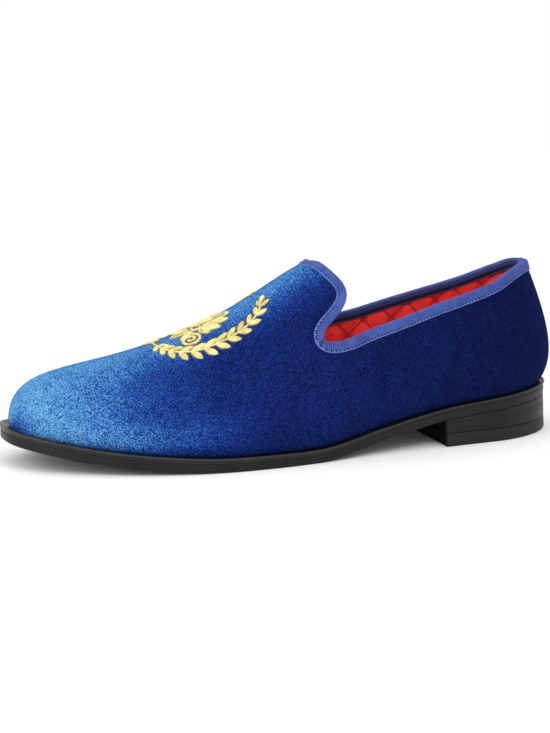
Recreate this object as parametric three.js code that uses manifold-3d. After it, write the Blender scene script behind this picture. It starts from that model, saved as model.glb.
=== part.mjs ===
// Velvet loafer, left shoe: a velvet upper with a ribbon-bound topline, on a thin sole and low heel.
// Millimetres, +Z up, toe towards -X, lateral side towards -Y. The shoe stands on z = 0.
import * as THREE from 'three';
import { mergeVertices } from 'three/addons/utils/BufferGeometryUtils.js';
import Module from 'manifold-3d';

// Driving sizes of the last and the sole
const LENGTH = 290;            // feather line, heel back to toe tip
const BALL_WIDTH = 90;         // feather line to feather line across the ball
const INSTEP_HEIGHT = 86;      // feather line to the ridge under the tab
const COLLAR_HEIGHT = 62.6;    // feather line to the upper's edge at the heel back
const HEEL_HEIGHT = 19.4;      // floor to the outsole's underside at the heel back
const TOE_SPRING = 12;         // floor to the outsole's underside at the toe tip
const HEEL_ROUND = 39;         // length of the heel's rounded end in plan
const TOE_ROUND = 104;         // length of the toe's rounded end in plan
const TOE_ROUND_POWER = 2.78;
const TOE_DROP = 51;           // length over which the ridge falls to the toe tip
const TOE_DROP_POWER = 2.7;
const HEEL_SHARE = 0.235;      // length of the heel as a share of LENGTH
const BREAST_HOLLOW = 1.2;     // how far the heel's front face is hollowed

// Walls, layers and fits
const WALL = 2;                // velvet, backing and lining together
const BINDING_CLOTH = 0.7;     // thickness of the folded ribbon
const BINDING_LEG = 4.7;       // width of each of its legs from the upper's edge
const MIDSOLE = 3;
const OUTSOLE = 4.5;
const TOP_LIFT = 6.8;
const INSOLE = 3;
const GAP = 0.3;               // clearance between curved pieces
const SOLE_STEP = 0.6;         // outsole wall stands back from the midsole's lip
const HEEL_FLARE = 1.6;        // heel wall stands out at the floor
const EDGE_BEVEL = 0.6;
const LIP_ROUND = 0.9;         // how far the rounding of the midsole's edge goes in
const SWELL_HEIGHT = 20;       // height of the fullest point above the feather line
const BACK_SWELL = 5.5;        // fullness of the heel back
const BACK_LEAN = 13;          // how far the heel back leans forward at LEAN_HEIGHT
const LEAN_HEIGHT = 65;
const BACK_FADE = 0.35;        // share of LENGTH over which the heel back's form fades out

const SOLE = MIDSOLE + GAP + OUTSOLE;

// Mesh fineness
const STATIONS = 52;
const ARC_STEPS = 14;
const PLATE_STATIONS = 44;
const HEEL_STATIONS = 18;
const HEEL_ACROSS = 4;
const PROFILE_STEPS = 120;
const BINDING_STEPS = 58;      // sections along each half of the topline
const TURN_WEIGHT = 12;        // millimetres of spacing that one radian of turn is worth
const CROWN_STEPS = 4;         // faces of the ribbon's rolled fold
const WELD = 1e-4;             // points closer than this are one
const PROBE = 0.05;            // half the step by which slopes are measured
const TRIES = { place: 12, snap: 8, crossing: 40 };

// Sections of the last, a row for each place along its length from the heel back.
// Widths and swing are shares of BALL_WIDTH, height is a share of INSTEP_HEIGHT above the feather
// line, heelLift of HEEL_HEIGHT, toeLift of TOE_SPRING; boxiness is the power of the section's curve.
const LAST = table(
  ['place', 'lateral', 'medial', 'swing', 'bulge', 'height', 'boxiness', 'heelLift', 'toeLift'],
  [
    [0.00, 0.283, 0.283, 0.000, 0.011, 1.180, 1.30, 1.000, 0.000],
    [0.12, 0.328, 0.322, 0.000, 0.017, 1.185, 1.30, 0.861, 0.000],
    [0.25, 0.372, 0.322, 0.000, 0.028, 1.135, 1.20, 0.680, 0.000],
    [0.37, 0.424, 0.317, 0.000, 0.033, 1.065, 0.95, 0.350, 0.000],
    [0.48, 0.481, 0.350, 0.000, 0.033, 0.974, 0.88, 0.015, 0.000],
    [0.58, 0.528, 0.414, 0.008, 0.028, 0.780, 0.90, -0.014, 0.000],
    [0.68, 0.542, 0.462, 0.016, 0.022, 0.627, 0.95, -0.008, 0.028],
    [0.78, 0.514, 0.459, 0.024, 0.017, 0.503, 0.95, 0.000, 0.188],
    [0.89, 0.457, 0.405, 0.033, 0.011, 0.400, 0.95, 0.000, 0.508],
    [1.00, 0.395, 0.329, 0.038, 0.009, 0.340, 0.95, 0.000, 1.000],
  ],
);

// How far the sole's lip stands out from the feather line, as shares of BALL_WIDTH
const LIP = table(
  ['place', 'lateral', 'medial'],
  [
    [0.00, 0.024, 0.024],
    [0.25, 0.029, 0.028],
    [0.37, 0.036, 0.024],
    [0.48, 0.044, 0.028],
    [0.58, 0.050, 0.044],
    [0.68, 0.051, 0.051],
    [1.00, 0.051, 0.051],
  ],
);

// Side view of the opening's edge, from behind the heel to above the tab. Place is a share of
// LENGTH; the height above the feather line is lateral or medial of COLLAR_HEIGHT plus instep of
// INSTEP_HEIGHT.
const TOPLINE = table(
  ['place', 'lateral', 'medial', 'instep'],
  [
    [-0.060, 1.000, 1.000, 0.000],
    [0.000, 1.000, 1.000, 0.000],
    [0.042, 1.016, 1.008, 0.000],
    [0.068, 1.008, 0.955, 0.000],
    [0.093, 0.982, 0.907, 0.000],
    [0.122, 0.934, 0.862, 0.000],
    [0.156, 0.896, 0.830, 0.000],
    [0.207, 0.856, 0.794, 0.000],
    [0.256, 0.829, 0.768, 0.000],
    [0.297, 0.810, 0.754, 0.000],
    [0.336, 0.800, 0.746, 0.000],
    [0.388, 0.790, 0.752, 0.000],
    [0.425, 0.777, 0.754, 0.000],
    [0.447, 0.784, 0.764, 0.000],
    [0.465, 0.805, 0.789, 0.000],
    [0.474, 0.840, 0.826, 0.000],
    [0.474, 0.883, 0.869, 0.000],
    [0.466, 0.000, 0.000, 0.678],
    [0.451, 0.000, 0.000, 0.712],
    [0.435, 0.000, 0.000, 0.750],
    [0.4245, 0.000, 0.000, 0.790],
    [0.4205, 0.000, 0.000, 0.834],
    [0.4235, 0.000, 0.000, 0.880],
    [0.432, 0.000, 0.000, 0.930],
    [0.4435, 0.000, 0.000, 0.985],
    [0.458, 0.000, 0.000, 1.060],
    [0.472, 0.000, 0.000, 1.140],
  ],
);

// Rounded edge of the midsole: down its wall as a share of its thickness, and in as a share of
// LIP_ROUND
const MIDSOLE_EDGE = table(
  ['down', 'in'],
  [
    [0.00, 1.00],
    [0.19, 0.28],
    [0.44, 0.00],
    [0.81, 0.22],
    [1.00, 0.89],
  ],
);

const COLOURS = {
  velvet: { color: 0x14318c, roughness: 0.85, metalness: 0 },
  grosgrain: { color: 0x4060c0, roughness: 0.7, metalness: 0 },
  lining: { color: 0xd8281c, roughness: 0.6, metalness: 0 },
  sole: { color: 0x2a2a2c, roughness: 0.5, metalness: 0 },
  rubber: { color: 0x232325, roughness: 0.7, metalness: 0 },
};

// Small tools for tables, meshes and solids

function table(names, rows) {
  return { names, rows };
}

// A smooth curve through one column of a table, straight beyond its ends
function column({ names, rows }, name) {
  const at = names.indexOf(name);
  const xs = rows.map((row) => row[0]);
  const ys = rows.map((row) => row[at]);
  const last = xs.length - 1;
  const pitch = (i) => (ys[i + 1] - ys[i]) / (xs[i + 1] - xs[i]);
  const slopes = xs.map((x, i) => {
    if (i === 0) return pitch(0);
    if (i === last) return pitch(last - 1);
    const before = xs[i] - xs[i - 1];
    const after = xs[i + 1] - xs[i];
    return (pitch(i - 1) * after + pitch(i) * before) / (before + after);
  });
  return (x) => {
    if (x <= xs[0]) return ys[0] + slopes[0] * (x - xs[0]);
    if (x >= xs[last]) return ys[last] + slopes[last] * (x - xs[last]);
    const i = xs.findIndex((next) => next > x) - 1;
    const span = xs[i + 1] - xs[i];
    const t = (x - xs[i]) / span;
    const rise = ys[i] * (1 + 2 * t) * (1 - t) ** 2 + ys[i + 1] * t * t * (3 - 2 * t);
    return rise + span * (slopes[i] * t * (1 - t) ** 2 + slopes[i + 1] * t * t * (t - 1));
  };
}

// Triangles of the quads between rows of points, each row as long as the next
function quads(rows, ringed) {
  const corners = [];
  for (let i = 0; i + 1 < rows.length; i += 1) {
    const count = rows[i].length;
    const steps = ringed ? count : count - 1;
    for (let j = 0; j < steps; j += 1) {
      const k = (j + 1) % count;
      corners.push(rows[i][j], rows[i + 1][j], rows[i + 1][k]);
      corners.push(rows[i][j], rows[i + 1][k], rows[i][k]);
    }
  }
  return corners;
}

// A welded geometry from loose corners, without the triangles that have no width
function weld(corners) {
  const loose = new THREE.BufferGeometry().setFromPoints(corners);
  const merged = mergeVertices(loose, WELD);
  const index = Array.from(merged.index.array);
  const kept = [];
  for (let i = 0; i < index.length; i += 3) {
    const [a, b, c] = index.slice(i, i + 3);
    if (a !== b && b !== c && c !== a) kept.push(a, b, c);
  }
  merged.setIndex(kept);
  return merged;
}

function volume(geometry) {
  const at = geometry.attributes.position;
  const index = geometry.index.array;
  const [a, b, c] = [new THREE.Vector3(), new THREE.Vector3(), new THREE.Vector3()];
  let sum = 0;
  for (let i = 0; i < index.length; i += 3) {
    a.fromBufferAttribute(at, index[i]);
    b.fromBufferAttribute(at, index[i + 1]);
    c.fromBufferAttribute(at, index[i + 2]);
    sum += a.dot(b.cross(c)) / 6;
  }
  return sum;
}

// A closed welded geometry whose faces point out
function closed(corners) {
  const geometry = weld(corners);
  if (volume(geometry) < 0) geometry.setIndex(Array.from(geometry.index.array).reverse());
  return geometry;
}

const wasm = await Module();
wasm.setup();

function solid(geometry) {
  return new wasm.Manifold(new wasm.Mesh({
    numProp: 3,
    vertProperties: new Float32Array(geometry.attributes.position.array),
    triVerts: new Uint32Array(geometry.index.array),
  }));
}

function geometryOf(body) {
  const mesh = body.getMesh();
  const geometry = new THREE.BufferGeometry();
  geometry.setAttribute('position', new THREE.BufferAttribute(mesh.vertProperties, 3));
  geometry.setIndex(new THREE.BufferAttribute(mesh.triVerts, 1));
  return geometry;
}

// The last: its surface from a place along the length and a turn from feather line to ridge

const lateral = column(LAST, 'lateral');
const medial = column(LAST, 'medial');
const swing = column(LAST, 'swing');
const bulge = column(LAST, 'bulge');
const height = column(LAST, 'height');
const boxiness = column(LAST, 'boxiness');
const heelLift = column(LAST, 'heelLift');
const toeLift = column(LAST, 'toeLift');

const underside = (place) => Math.max(0, heelLift(place) * HEEL_HEIGHT + toeLift(place) * TOE_SPRING);
const feather = (place) => SOLE + heelLift(place) * HEEL_HEIGHT + toeLift(place) * TOE_SPRING;
const halfWidth = (place, side) => (side < 0 ? lateral(place) : medial(place)) * BALL_WIDTH;
const swell = (rise) => (rise / SWELL_HEIGHT) * Math.exp(1 - rise / SWELL_HEIGHT);
const placeOf = (x) => -x / LENGTH;

// One minus the taper of a rounded end, signed so that it goes on past the end
function roundEnd(distance, round, power) {
  const t = Math.max(0, 1 - distance / round);
  return 1 - t ** power;
}

const endTaper = (place) => roundEnd(place * LENGTH, HEEL_ROUND, 2);
const toeTaper = (place) => roundEnd((1 - place) * LENGTH, TOE_ROUND, TOE_ROUND_POWER);

function planTaper(place) {
  const heel = Math.sqrt(Math.max(0, endTaper(place)));
  return heel * Math.max(0, toeTaper(place)) ** (1 / TOE_ROUND_POWER);
}

function ridgeRise(place) {
  const drop = Math.max(0, roundEnd((1 - place) * LENGTH, TOE_DROP, TOE_DROP_POWER));
  return height(place) * INSTEP_HEIGHT * drop ** (1 / TOE_DROP_POWER);
}

// How far the heel back stands behind its feather line at a rise
function backShift(place, rise) {
  const fade = THREE.MathUtils.clamp(1 - place / BACK_FADE, 0, 1) ** 2;
  return fade * (BACK_SWELL * swell(rise) - BACK_LEAN * (rise / LEAN_HEIGHT) ** 2);
}

function skin(place, turn, side) {
  const taper = planTaper(place);
  const rise = ridgeRise(place) * Math.sin(turn);
  const wide = halfWidth(place, side) * taper * Math.max(0, Math.cos(turn)) ** boxiness(place);
  const out = wide + bulge(place) * BALL_WIDTH * taper * swell(rise);
  const x = -LENGTH * place + backShift(place, rise);
  return new THREE.Vector3(x, swing(place) * BALL_WIDTH + side * out, feather(place) + rise);
}

// The place along the length of a point of the side view
function placeAt(x, z) {
  let place = placeOf(x);
  for (let i = 0; i < TRIES.place; i += 1) {
    place = (backShift(place, Math.max(0, z - feather(place))) - x) / LENGTH;
  }
  return place;
}

const signedPower = (value, power) => Math.sign(value) * Math.abs(value) ** power;

// Negative inside the last's skin, positive outside it
function depth(point) {
  const place = placeAt(point.x, point.z);
  const rise = Math.max(0, point.z - feather(place));
  const side = point.y < swing(place) * BALL_WIDTH ? -1 : 1;
  const taper = planTaper(place);
  const out = Math.abs(point.y - swing(place) * BALL_WIDTH) - bulge(place) * BALL_WIDTH * taper * swell(rise);
  const across = Math.max(0, out) / halfWidth(place, side);
  const up = signedPower(1 - (rise / ridgeRise(place)) ** 2, boxiness(place));
  return across ** 2 - up * endTaper(place) * Math.max(0, toeTaper(place)) ** (2 / TOE_ROUND_POWER);
}

function gradient(point) {
  const probe = (x, y, z) => depth(point.clone().add(new THREE.Vector3(x, y, z)));
  return new THREE.Vector3(
    probe(PROBE, 0, 0) - probe(-PROBE, 0, 0),
    probe(0, PROBE, 0) - probe(0, -PROBE, 0),
    probe(0, 0, PROBE) - probe(0, 0, -PROBE),
  ).divideScalar(2 * PROBE);
}

const outward = (point) => gradient(point).normalize();

// The nearest point of the skin, for a point close to it
function snap(point) {
  const at = point.clone();
  for (let i = 0; i < TRIES.snap; i += 1) {
    const slope = gradient(at);
    const move = THREE.MathUtils.clamp(depth(at) / slope.length(), -1, 1);
    at.addScaledVector(slope.normalize(), -move);
  }
  return at;
}

// Even turns give places that crowd towards heel and toe
const places = (count, from = 0, to = 1) => Array.from(
  { length: count + 1 },
  (unused, i) => from + ((to - from) * (1 - Math.cos((Math.PI * i) / count))) / 2,
);

// Upper: the skin and its inside, cut open along the topline and underneath

function skinRows() {
  return places(STATIONS).map((place) => {
    const turns = Array.from({ length: ARC_STEPS + 1 }, (unused, j) => (Math.PI / 2) * (j / ARC_STEPS));
    const near = turns.map((turn) => skin(place, turn, -1));
    const far = turns.map((turn) => skin(place, turn, 1)).reverse();
    return [...near, ...far.slice(1)];
  });
}

// The same rows moved inwards by the wall, each point along the mean normal of the faces around it
function liningRows(rows) {
  const key = (point) => point.toArray().map((value) => Math.round(value * 1000)).join();
  const normals = new Map();
  const corners = quads(rows, false);
  for (let i = 0; i < corners.length; i += 3) {
    const [a, b, c] = corners.slice(i, i + 3);
    const face = b.clone().sub(a).cross(c.clone().sub(a));
    [a, b, c].forEach((corner) => {
      const sum = normals.get(key(corner)) ?? new THREE.Vector3();
      normals.set(key(corner), sum.add(face));
    });
  }
  const inwards = (point) => normals.get(key(point)).clone().setLength(WALL);
  return rows.map((row) => row.map((point) => point.clone().add(inwards(point))));
}

// Side view of the opening's edge on one side, as a curve in the plane y = 0
function toplineCurve(name) {
  const points = TOPLINE.rows.map((row) => {
    const value = (title) => row[TOPLINE.names.indexOf(title)];
    const rise = value(name) * COLLAR_HEIGHT + value('instep') * INSTEP_HEIGHT;
    return new THREE.Vector3(-value('place') * LENGTH, 0, feather(Math.max(0, value('place'))) + rise);
  });
  return new THREE.CatmullRomCurve3(points, false, 'centripetal');
}

const lateralTopline = toplineCurve('lateral');
const medialTopline = toplineCurve('medial');

// What the opening removes on one side of the shoe
function openingSolid(curve, side) {
  const reach = BALL_WIDTH;
  const top = 2 * INSTEP_HEIGHT;
  const edge = curve.getSpacedPoints(PROFILE_STEPS).map((point) => new THREE.Vector2(point.x, point.z));
  const first = edge[0];
  const final = edge[edge.length - 1];
  const outline = [...edge, new THREE.Vector2(final.x, top), new THREE.Vector2(first.x, top)];
  const geometry = new THREE.ExtrudeGeometry(new THREE.Shape(outline), { depth: reach, bevelEnabled: false });
  geometry.rotateX(Math.PI / 2);
  if (side > 0) geometry.translate(0, reach, 0);
  geometry.deleteAttribute('normal');
  geometry.deleteAttribute('uv');
  return solid(mergeVertices(geometry, WELD));
}

function upperGeometry() {
  const outside = skinRows();
  const drop = new THREE.Vector3(0, 0, -2 * SOLE);
  const inside = liningRows(outside).map((row) => [
    row[0].clone().add(drop), ...row, row[row.length - 1].clone().add(drop),
  ]);
  const block = solid(closed(quads(outside, true)));
  const hollow = solid(closed(quads(inside, true)));
  const shell = block.subtract(hollow)
    .subtract(openingSolid(lateralTopline, -1))
    .subtract(openingSolid(medialTopline, 1));
  return geometryOf(shell);
}

// Topline binding: a folded ribbon over the opening's edge

// The point of the skin seen at x and z on one side
function skinAt(x, z, side) {
  const place = placeAt(x, z);
  const level = THREE.MathUtils.clamp((z - feather(place)) / ridgeRise(place), 0, 1);
  return skin(Math.max(0, place), Math.asin(level), side);
}

// The stretch of a side view that lies on the shoe, between its heel back and its ridge
function stretchOnShoe(curve) {
  const onShoe = (t) => {
    const { x, z } = curve.getPoint(t);
    const place = placeAt(x, z);
    return place > 0 && z < feather(place) + ridgeRise(place);
  };
  const crossing = (outside, inside) => {
    let [off, on] = [outside, inside];
    for (let i = 0; i < TRIES.crossing; i += 1) {
      const middle = (off + on) / 2;
      if (onShoe(middle)) on = middle;
      else off = middle;
    }
    return on;
  };
  const halfway = 0.5;
  return [crossing(0, halfway), crossing(1, halfway)];
}

// Half of the topline on the skin, from tab to heel back, closer spaced where it turns. Each edge
// point keeps the side view's own square, which points away from the velvet.
function halfTopline(curve, side) {
  const [heel, tab] = stretchOnShoe(curve);
  const dense = places(10 * PROFILE_STEPS, tab, heel).map((t) => {
    const { x, z } = curve.getPoint(t);
    const along = curve.getTangent(t);
    return { point: skinAt(x, z, side), away: new THREE.Vector3(along.z, 0, -along.x) };
  });
  const run = [0];
  for (let i = 1; i < dense.length; i += 1) {
    const step = dense[i].point.clone().sub(dense[i - 1].point);
    const before = dense[i - 1].point.clone().sub(dense[Math.max(0, i - 2)].point);
    const turn = before.length() > 0 && step.length() > 0 ? before.angleTo(step) : 0;
    run.push(run[i - 1] + step.length() + TURN_WEIGHT * turn);
  }
  const total = run[run.length - 1];
  return Array.from({ length: BINDING_STEPS + 1 }, (unused, k) => {
    const wanted = (total * k) / BINDING_STEPS;
    const i = Math.max(1, run.findIndex((value) => value >= wanted - 1e-9));
    const share = (wanted - run[i - 1]) / (run[i] - run[i - 1]);
    return {
      point: dense[i - 1].point.clone().lerp(dense[i].point, share),
      away: dense[i - 1].away.clone().lerp(dense[i].away, share).normalize(),
    };
  });
}

function toplineLoop() {
  const near = halfTopline(lateralTopline, -1);
  const far = halfTopline(medialTopline, 1).reverse();
  return [...near, ...far.slice(1, -1)];
}

// Section of the folded ribbon: how far into the upper, and how far out from its skin
function bindingSection() {
  const outer = GAP + BINDING_CLOTH;
  const inner = -WALL - GAP - BINDING_CLOTH;
  const crown = Array.from({ length: CROWN_STEPS + 1 }, (unused, i) => {
    const angle = (Math.PI * i) / CROWN_STEPS;
    const out = (outer + inner) / 2 + ((outer - inner) / 2) * Math.cos(angle);
    return { into: -outer * Math.sin(angle), out };
  });
  return [
    { into: BINDING_LEG, out: outer },
    ...crown,
    { into: BINDING_LEG, out: inner },
    { into: BINDING_LEG, out: -WALL - GAP },
    { into: -GAP, out: -WALL - GAP },
    { into: -GAP, out: GAP },
    { into: BINDING_LEG, out: GAP },
  ];
}

function bindingGeometry() {
  const loop = toplineLoop();
  const count = loop.length;
  const rings = loop.map(({ point, away }, i) => {
    const ahead = loop[(i + 1) % count].point;
    const behind = loop[(i + count - 1) % count].point;
    const along = ahead.clone().sub(behind).normalize();
    const face = outward(point);
    const into = along.clone().cross(face).normalize();
    const acrossEdge = away.clone().cross(along).normalize();
    const slant = acrossEdge.dot(face);
    return bindingSection().map((corner) => {
      if (corner.into <= 0) {
        const over = point.clone().addScaledVector(away, -corner.into);
        return over.addScaledVector(acrossEdge, corner.out / slant);
      }
      const foot = snap(point.clone().addScaledVector(into, corner.into));
      return foot.addScaledVector(outward(foot), corner.out);
    });
  });
  return closed(quads([...rings, rings[0]], true));
}

// Sole layers: plates whose outline follows the feather line

const lipLateral = column(LIP, 'lateral');
const lipMedial = column(LIP, 'medial');
const lip = (place, side) => (side < 0 ? lipLateral(place) : lipMedial(place)) * BALL_WIDTH;

// Plan of a layer as rungs from the lateral to the medial edge, moved out from the feather line.
// The edge runs round the feather line, and each of its points moves square to it.
function rungs(to, steps, moveOut) {
  const list = places(steps, 0, to);
  const edge = (side) => list.map((place) => {
    const before = skin(Math.max(0, place - PROBE / LENGTH), 0, side);
    const after = skin(Math.min(1, place + PROBE / LENGTH), 0, side);
    const along = after.sub(before).setZ(0).normalize();
    const square = new THREE.Vector3(-along.y, along.x, 0).multiplyScalar(-side);
    if (place === 0) square.set(1, 0, 0);
    if (place === 1) square.set(-1, 0, 0);
    return skin(place, 0, side).addScaledVector(square, moveOut(place, side));
  });
  const near = edge(-1);
  const far = edge(1);
  return near.map((point, i) => [point, far[i]]);
}

// Interior points of a rung; the last rung is hollowed where the layer ends in a breast
function acrossRung([near, far], steps, hollow) {
  return Array.from({ length: steps + 1 }, (unused, j) => {
    const t = j / steps;
    const point = near.clone().lerp(far, t);
    point.x += hollow * 4 * t * (1 - t);
    return point;
  });
}

// A plate between its rings, listed from top to bottom. Each ring has its own move out from the
// feather line and its own height at a place.
function plate({ rings, to = 1, stations = PLATE_STATIONS, across = 1, hollow = 0 }) {
  const grids = rings.map(({ out, z }) => {
    const ladder = rungs(to, stations, out);
    return ladder.map((rung, i) => {
      const cut = i === ladder.length - 1 ? hollow : 0;
      return acrossRung(rung, across, cut).map((point) => point.setZ(z(placeOf(point.x))));
    });
  });
  const border = (grid) => [
    ...grid.map((row) => row[0]),
    ...grid[grid.length - 1].slice(1, -1),
    ...grid.map((row) => row[across]).reverse(),
  ];
  const walls = quads(grids.map(border), true);
  const top = quads(grids[0], false);
  const bottom = quads(grids[grids.length - 1].map((row) => [...row].reverse()), false);
  return closed([...walls, ...top, ...bottom]);
}

const fromLip = (extra) => (place, side) => lip(place, side) + extra;
const below = (base, drop) => (place) => base(place) - drop;
const flat = (level) => () => level;

function insoleGeometry() {
  const inset = () => -WALL - 2 * GAP;
  return plate({
    rings: [
      { out: inset, z: below(feather, -INSOLE) },
      { out: inset, z: feather },
    ],
  });
}

// The midsole's edge is rounded, and shows as the lip under the velvet
function midsoleGeometry() {
  const rings = MIDSOLE_EDGE.rows.map(([down, inwards]) => ({
    out: fromLip(-inwards * LIP_ROUND),
    z: below(feather, GAP + down * (MIDSOLE - GAP)),
  }));
  return plate({ rings });
}

function outsoleGeometry() {
  return plate({
    rings: [
      { out: fromLip(-SOLE_STEP), z: below(feather, MIDSOLE + GAP) },
      { out: fromLip(-SOLE_STEP), z: below(underside, -EDGE_BEVEL) },
      { out: fromLip(-SOLE_STEP - EDGE_BEVEL / 2), z: underside },
    ],
  });
}

function heelGeometry() {
  return plate({
    to: HEEL_SHARE,
    stations: HEEL_STATIONS,
    across: HEEL_ACROSS,
    hollow: BREAST_HOLLOW,
    rings: [
      { out: fromLip(-SOLE_STEP - EDGE_BEVEL / 2), z: below(underside, GAP) },
      { out: fromLip(-SOLE_STEP), z: below(underside, GAP + EDGE_BEVEL) },
      { out: fromLip(HEEL_FLARE / 2 - SOLE_STEP), z: flat(TOP_LIFT + GAP + EDGE_BEVEL) },
      { out: fromLip(HEEL_FLARE / 2 - SOLE_STEP - EDGE_BEVEL / 2), z: flat(TOP_LIFT + GAP) },
    ],
  });
}

function topLiftGeometry() {
  return plate({
    to: HEEL_SHARE,
    stations: HEEL_STATIONS,
    across: HEEL_ACROSS,
    hollow: BREAST_HOLLOW,
    rings: [
      { out: fromLip(HEEL_FLARE / 2 - SOLE_STEP), z: flat(TOP_LIFT) },
      { out: fromLip(HEEL_FLARE - SOLE_STEP), z: flat(EDGE_BEVEL) },
      { out: fromLip(HEEL_FLARE - SOLE_STEP - EDGE_BEVEL), z: flat(0) },
    ],
  });
}

// The shoe

function piece(name, geometry, material) {
  const faceted = geometry.toNonIndexed();
  faceted.computeVertexNormals();
  const mesh = new THREE.Mesh(mergeVertices(faceted), new THREE.MeshStandardMaterial(COLOURS[material]));
  mesh.name = name;
  return mesh;
}

const shoe = new THREE.Group();
shoe.add(
  piece('upper', upperGeometry(), 'velvet'),
  piece('topline_binding', bindingGeometry(), 'grosgrain'),
  piece('insole', insoleGeometry(), 'lining'),
  piece('midsole', midsoleGeometry(), 'sole'),
  piece('outsole', outsoleGeometry(), 'sole'),
  piece('heel', heelGeometry(), 'sole'),
  piece('top_lift', topLiftGeometry(), 'rubber'),
);

// The origin is under the middle of the shoe's box
const box = new THREE.Box3().setFromObject(shoe);
const centre = box.getCenter(new THREE.Vector3());
shoe.position.set(-centre.x, -centre.y, -box.min.z);
shoe.updateMatrixWorld(true);

export default shoe;
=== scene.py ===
# %% [markdown]
# A velvet loafer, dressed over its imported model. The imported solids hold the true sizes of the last,
# the sole and the ribbon. This script keeps them as its frame and lays the finished surfaces over
# them: velvet with a nap, ribbed ribbon, quilted lining, dressed sole edges and raised embroidery.

import math

import bmesh
import bpy
import numpy as np
from mathutils import Matrix, Vector


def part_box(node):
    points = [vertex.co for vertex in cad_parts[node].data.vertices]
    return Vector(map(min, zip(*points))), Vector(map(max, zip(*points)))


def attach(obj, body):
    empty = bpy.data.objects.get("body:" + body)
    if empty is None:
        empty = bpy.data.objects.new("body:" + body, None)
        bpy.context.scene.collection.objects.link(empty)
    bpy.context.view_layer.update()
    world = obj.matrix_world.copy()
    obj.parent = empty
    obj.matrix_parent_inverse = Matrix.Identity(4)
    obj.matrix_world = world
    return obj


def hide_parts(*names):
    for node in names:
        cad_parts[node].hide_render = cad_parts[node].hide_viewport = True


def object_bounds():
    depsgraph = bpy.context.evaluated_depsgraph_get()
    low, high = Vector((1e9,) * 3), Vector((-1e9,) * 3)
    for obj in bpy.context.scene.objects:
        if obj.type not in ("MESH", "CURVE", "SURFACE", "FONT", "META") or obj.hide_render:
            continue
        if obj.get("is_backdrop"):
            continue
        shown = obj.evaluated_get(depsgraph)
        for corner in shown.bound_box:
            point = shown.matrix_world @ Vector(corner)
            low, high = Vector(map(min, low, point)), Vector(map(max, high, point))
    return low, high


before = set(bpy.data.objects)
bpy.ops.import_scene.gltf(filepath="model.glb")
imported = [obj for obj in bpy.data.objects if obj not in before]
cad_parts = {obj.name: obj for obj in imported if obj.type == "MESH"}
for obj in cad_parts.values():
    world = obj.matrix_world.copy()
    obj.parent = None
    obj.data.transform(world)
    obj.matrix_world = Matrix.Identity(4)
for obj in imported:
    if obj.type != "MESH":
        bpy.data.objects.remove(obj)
cad_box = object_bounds()
MM = 0.001
print("nodes:", sorted(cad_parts))
print("box in mm:", [[round(value / MM, 1) for value in corner] for corner in cad_box])

# %% [markdown]
# The camera comes first, so that every later render can be set beside the photograph. It stands
# low in front of the toe, on the lateral side, and looks at the shoe through a long lens. The
# distance matters as much as the angle, because a near camera swells the toe.

# %% Camera
VIEW_TURN = math.radians(20.19)     # from square on to the lateral side, towards the toe
VIEW_RISE = math.radians(11.51)
VIEW_ROLL = math.radians(0.26)
VIEW_DISTANCE = 1.3
VIEW_TARGET = Vector((-0.00391, 0.00198, 0.045))
VIEW_SLIDE = (-0.00114, -0.00387)   # from the target to the picture's centre, right and up
LENS = 123.7                        # for a 36 mm sensor on the picture's long side


def make_camera():
    towards = Vector((
        -math.sin(VIEW_TURN) * math.cos(VIEW_RISE),
        -math.cos(VIEW_TURN) * math.cos(VIEW_RISE),
        math.sin(VIEW_RISE),
    ))
    right = Vector((math.cos(VIEW_TURN), -math.sin(VIEW_TURN), 0))
    up = towards.cross(right)
    right, up = (
        math.cos(VIEW_ROLL) * right + math.sin(VIEW_ROLL) * up,
        math.cos(VIEW_ROLL) * up - math.sin(VIEW_ROLL) * right,
    )
    data = bpy.data.cameras.new("camera")
    data.lens = LENS
    data.clip_end = 100
    camera = bpy.data.objects.new("camera", data)
    bpy.context.scene.collection.objects.link(camera)
    aim = VIEW_TARGET + VIEW_SLIDE[0] * right + VIEW_SLIDE[1] * up
    camera.matrix_world = Matrix.Translation(aim + VIEW_DISTANCE * towards) @ Matrix(
        (right, up, towards)
    ).transposed().to_4x4()
    bpy.context.scene.camera = camera
    return camera


camera = make_camera()
print("camera at", [round(value, 3) for value in camera.matrix_world.translation])

# %% [markdown]
# A shoe is shaped on a last, and every surface of this one follows it. The last could be modelled
# by pushing vertices, but a formula with a short table of sections stays exact and can be sampled
# as finely as a surface needs. The table's widths are shares of the ball's width and its heights
# are shares of the instep's, as a last maker grades them. All lengths here are millimetres.

# %% Sizes of the last
LENGTH = 290
BALL_WIDTH = 90
INSTEP_HEIGHT = 86
COLLAR_HEIGHT = 62.6
HEEL_HEIGHT = 19.4
TOE_SPRING = 12
HEEL_ROUND = 39
TOE_ROUND = 104
TOE_ROUND_POWER = 2.78
TOE_DROP = 51
TOE_DROP_POWER = 2.7
HEEL_SHARE = 0.235
BREAST_HOLLOW = 1.2
WALL = 2
MIDSOLE = 3
OUTSOLE = 4.5
TOP_LIFT = 6.8
INSOLE = 3
GAP = 0.3
SOLE_STEP = 0.6
SOLE = MIDSOLE + GAP + OUTSOLE
SWELL_HEIGHT = 20
BACK_SWELL = 5.5
BACK_LEAN = 13
LEAN_HEIGHT = 65
BACK_FADE = 0.35


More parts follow.
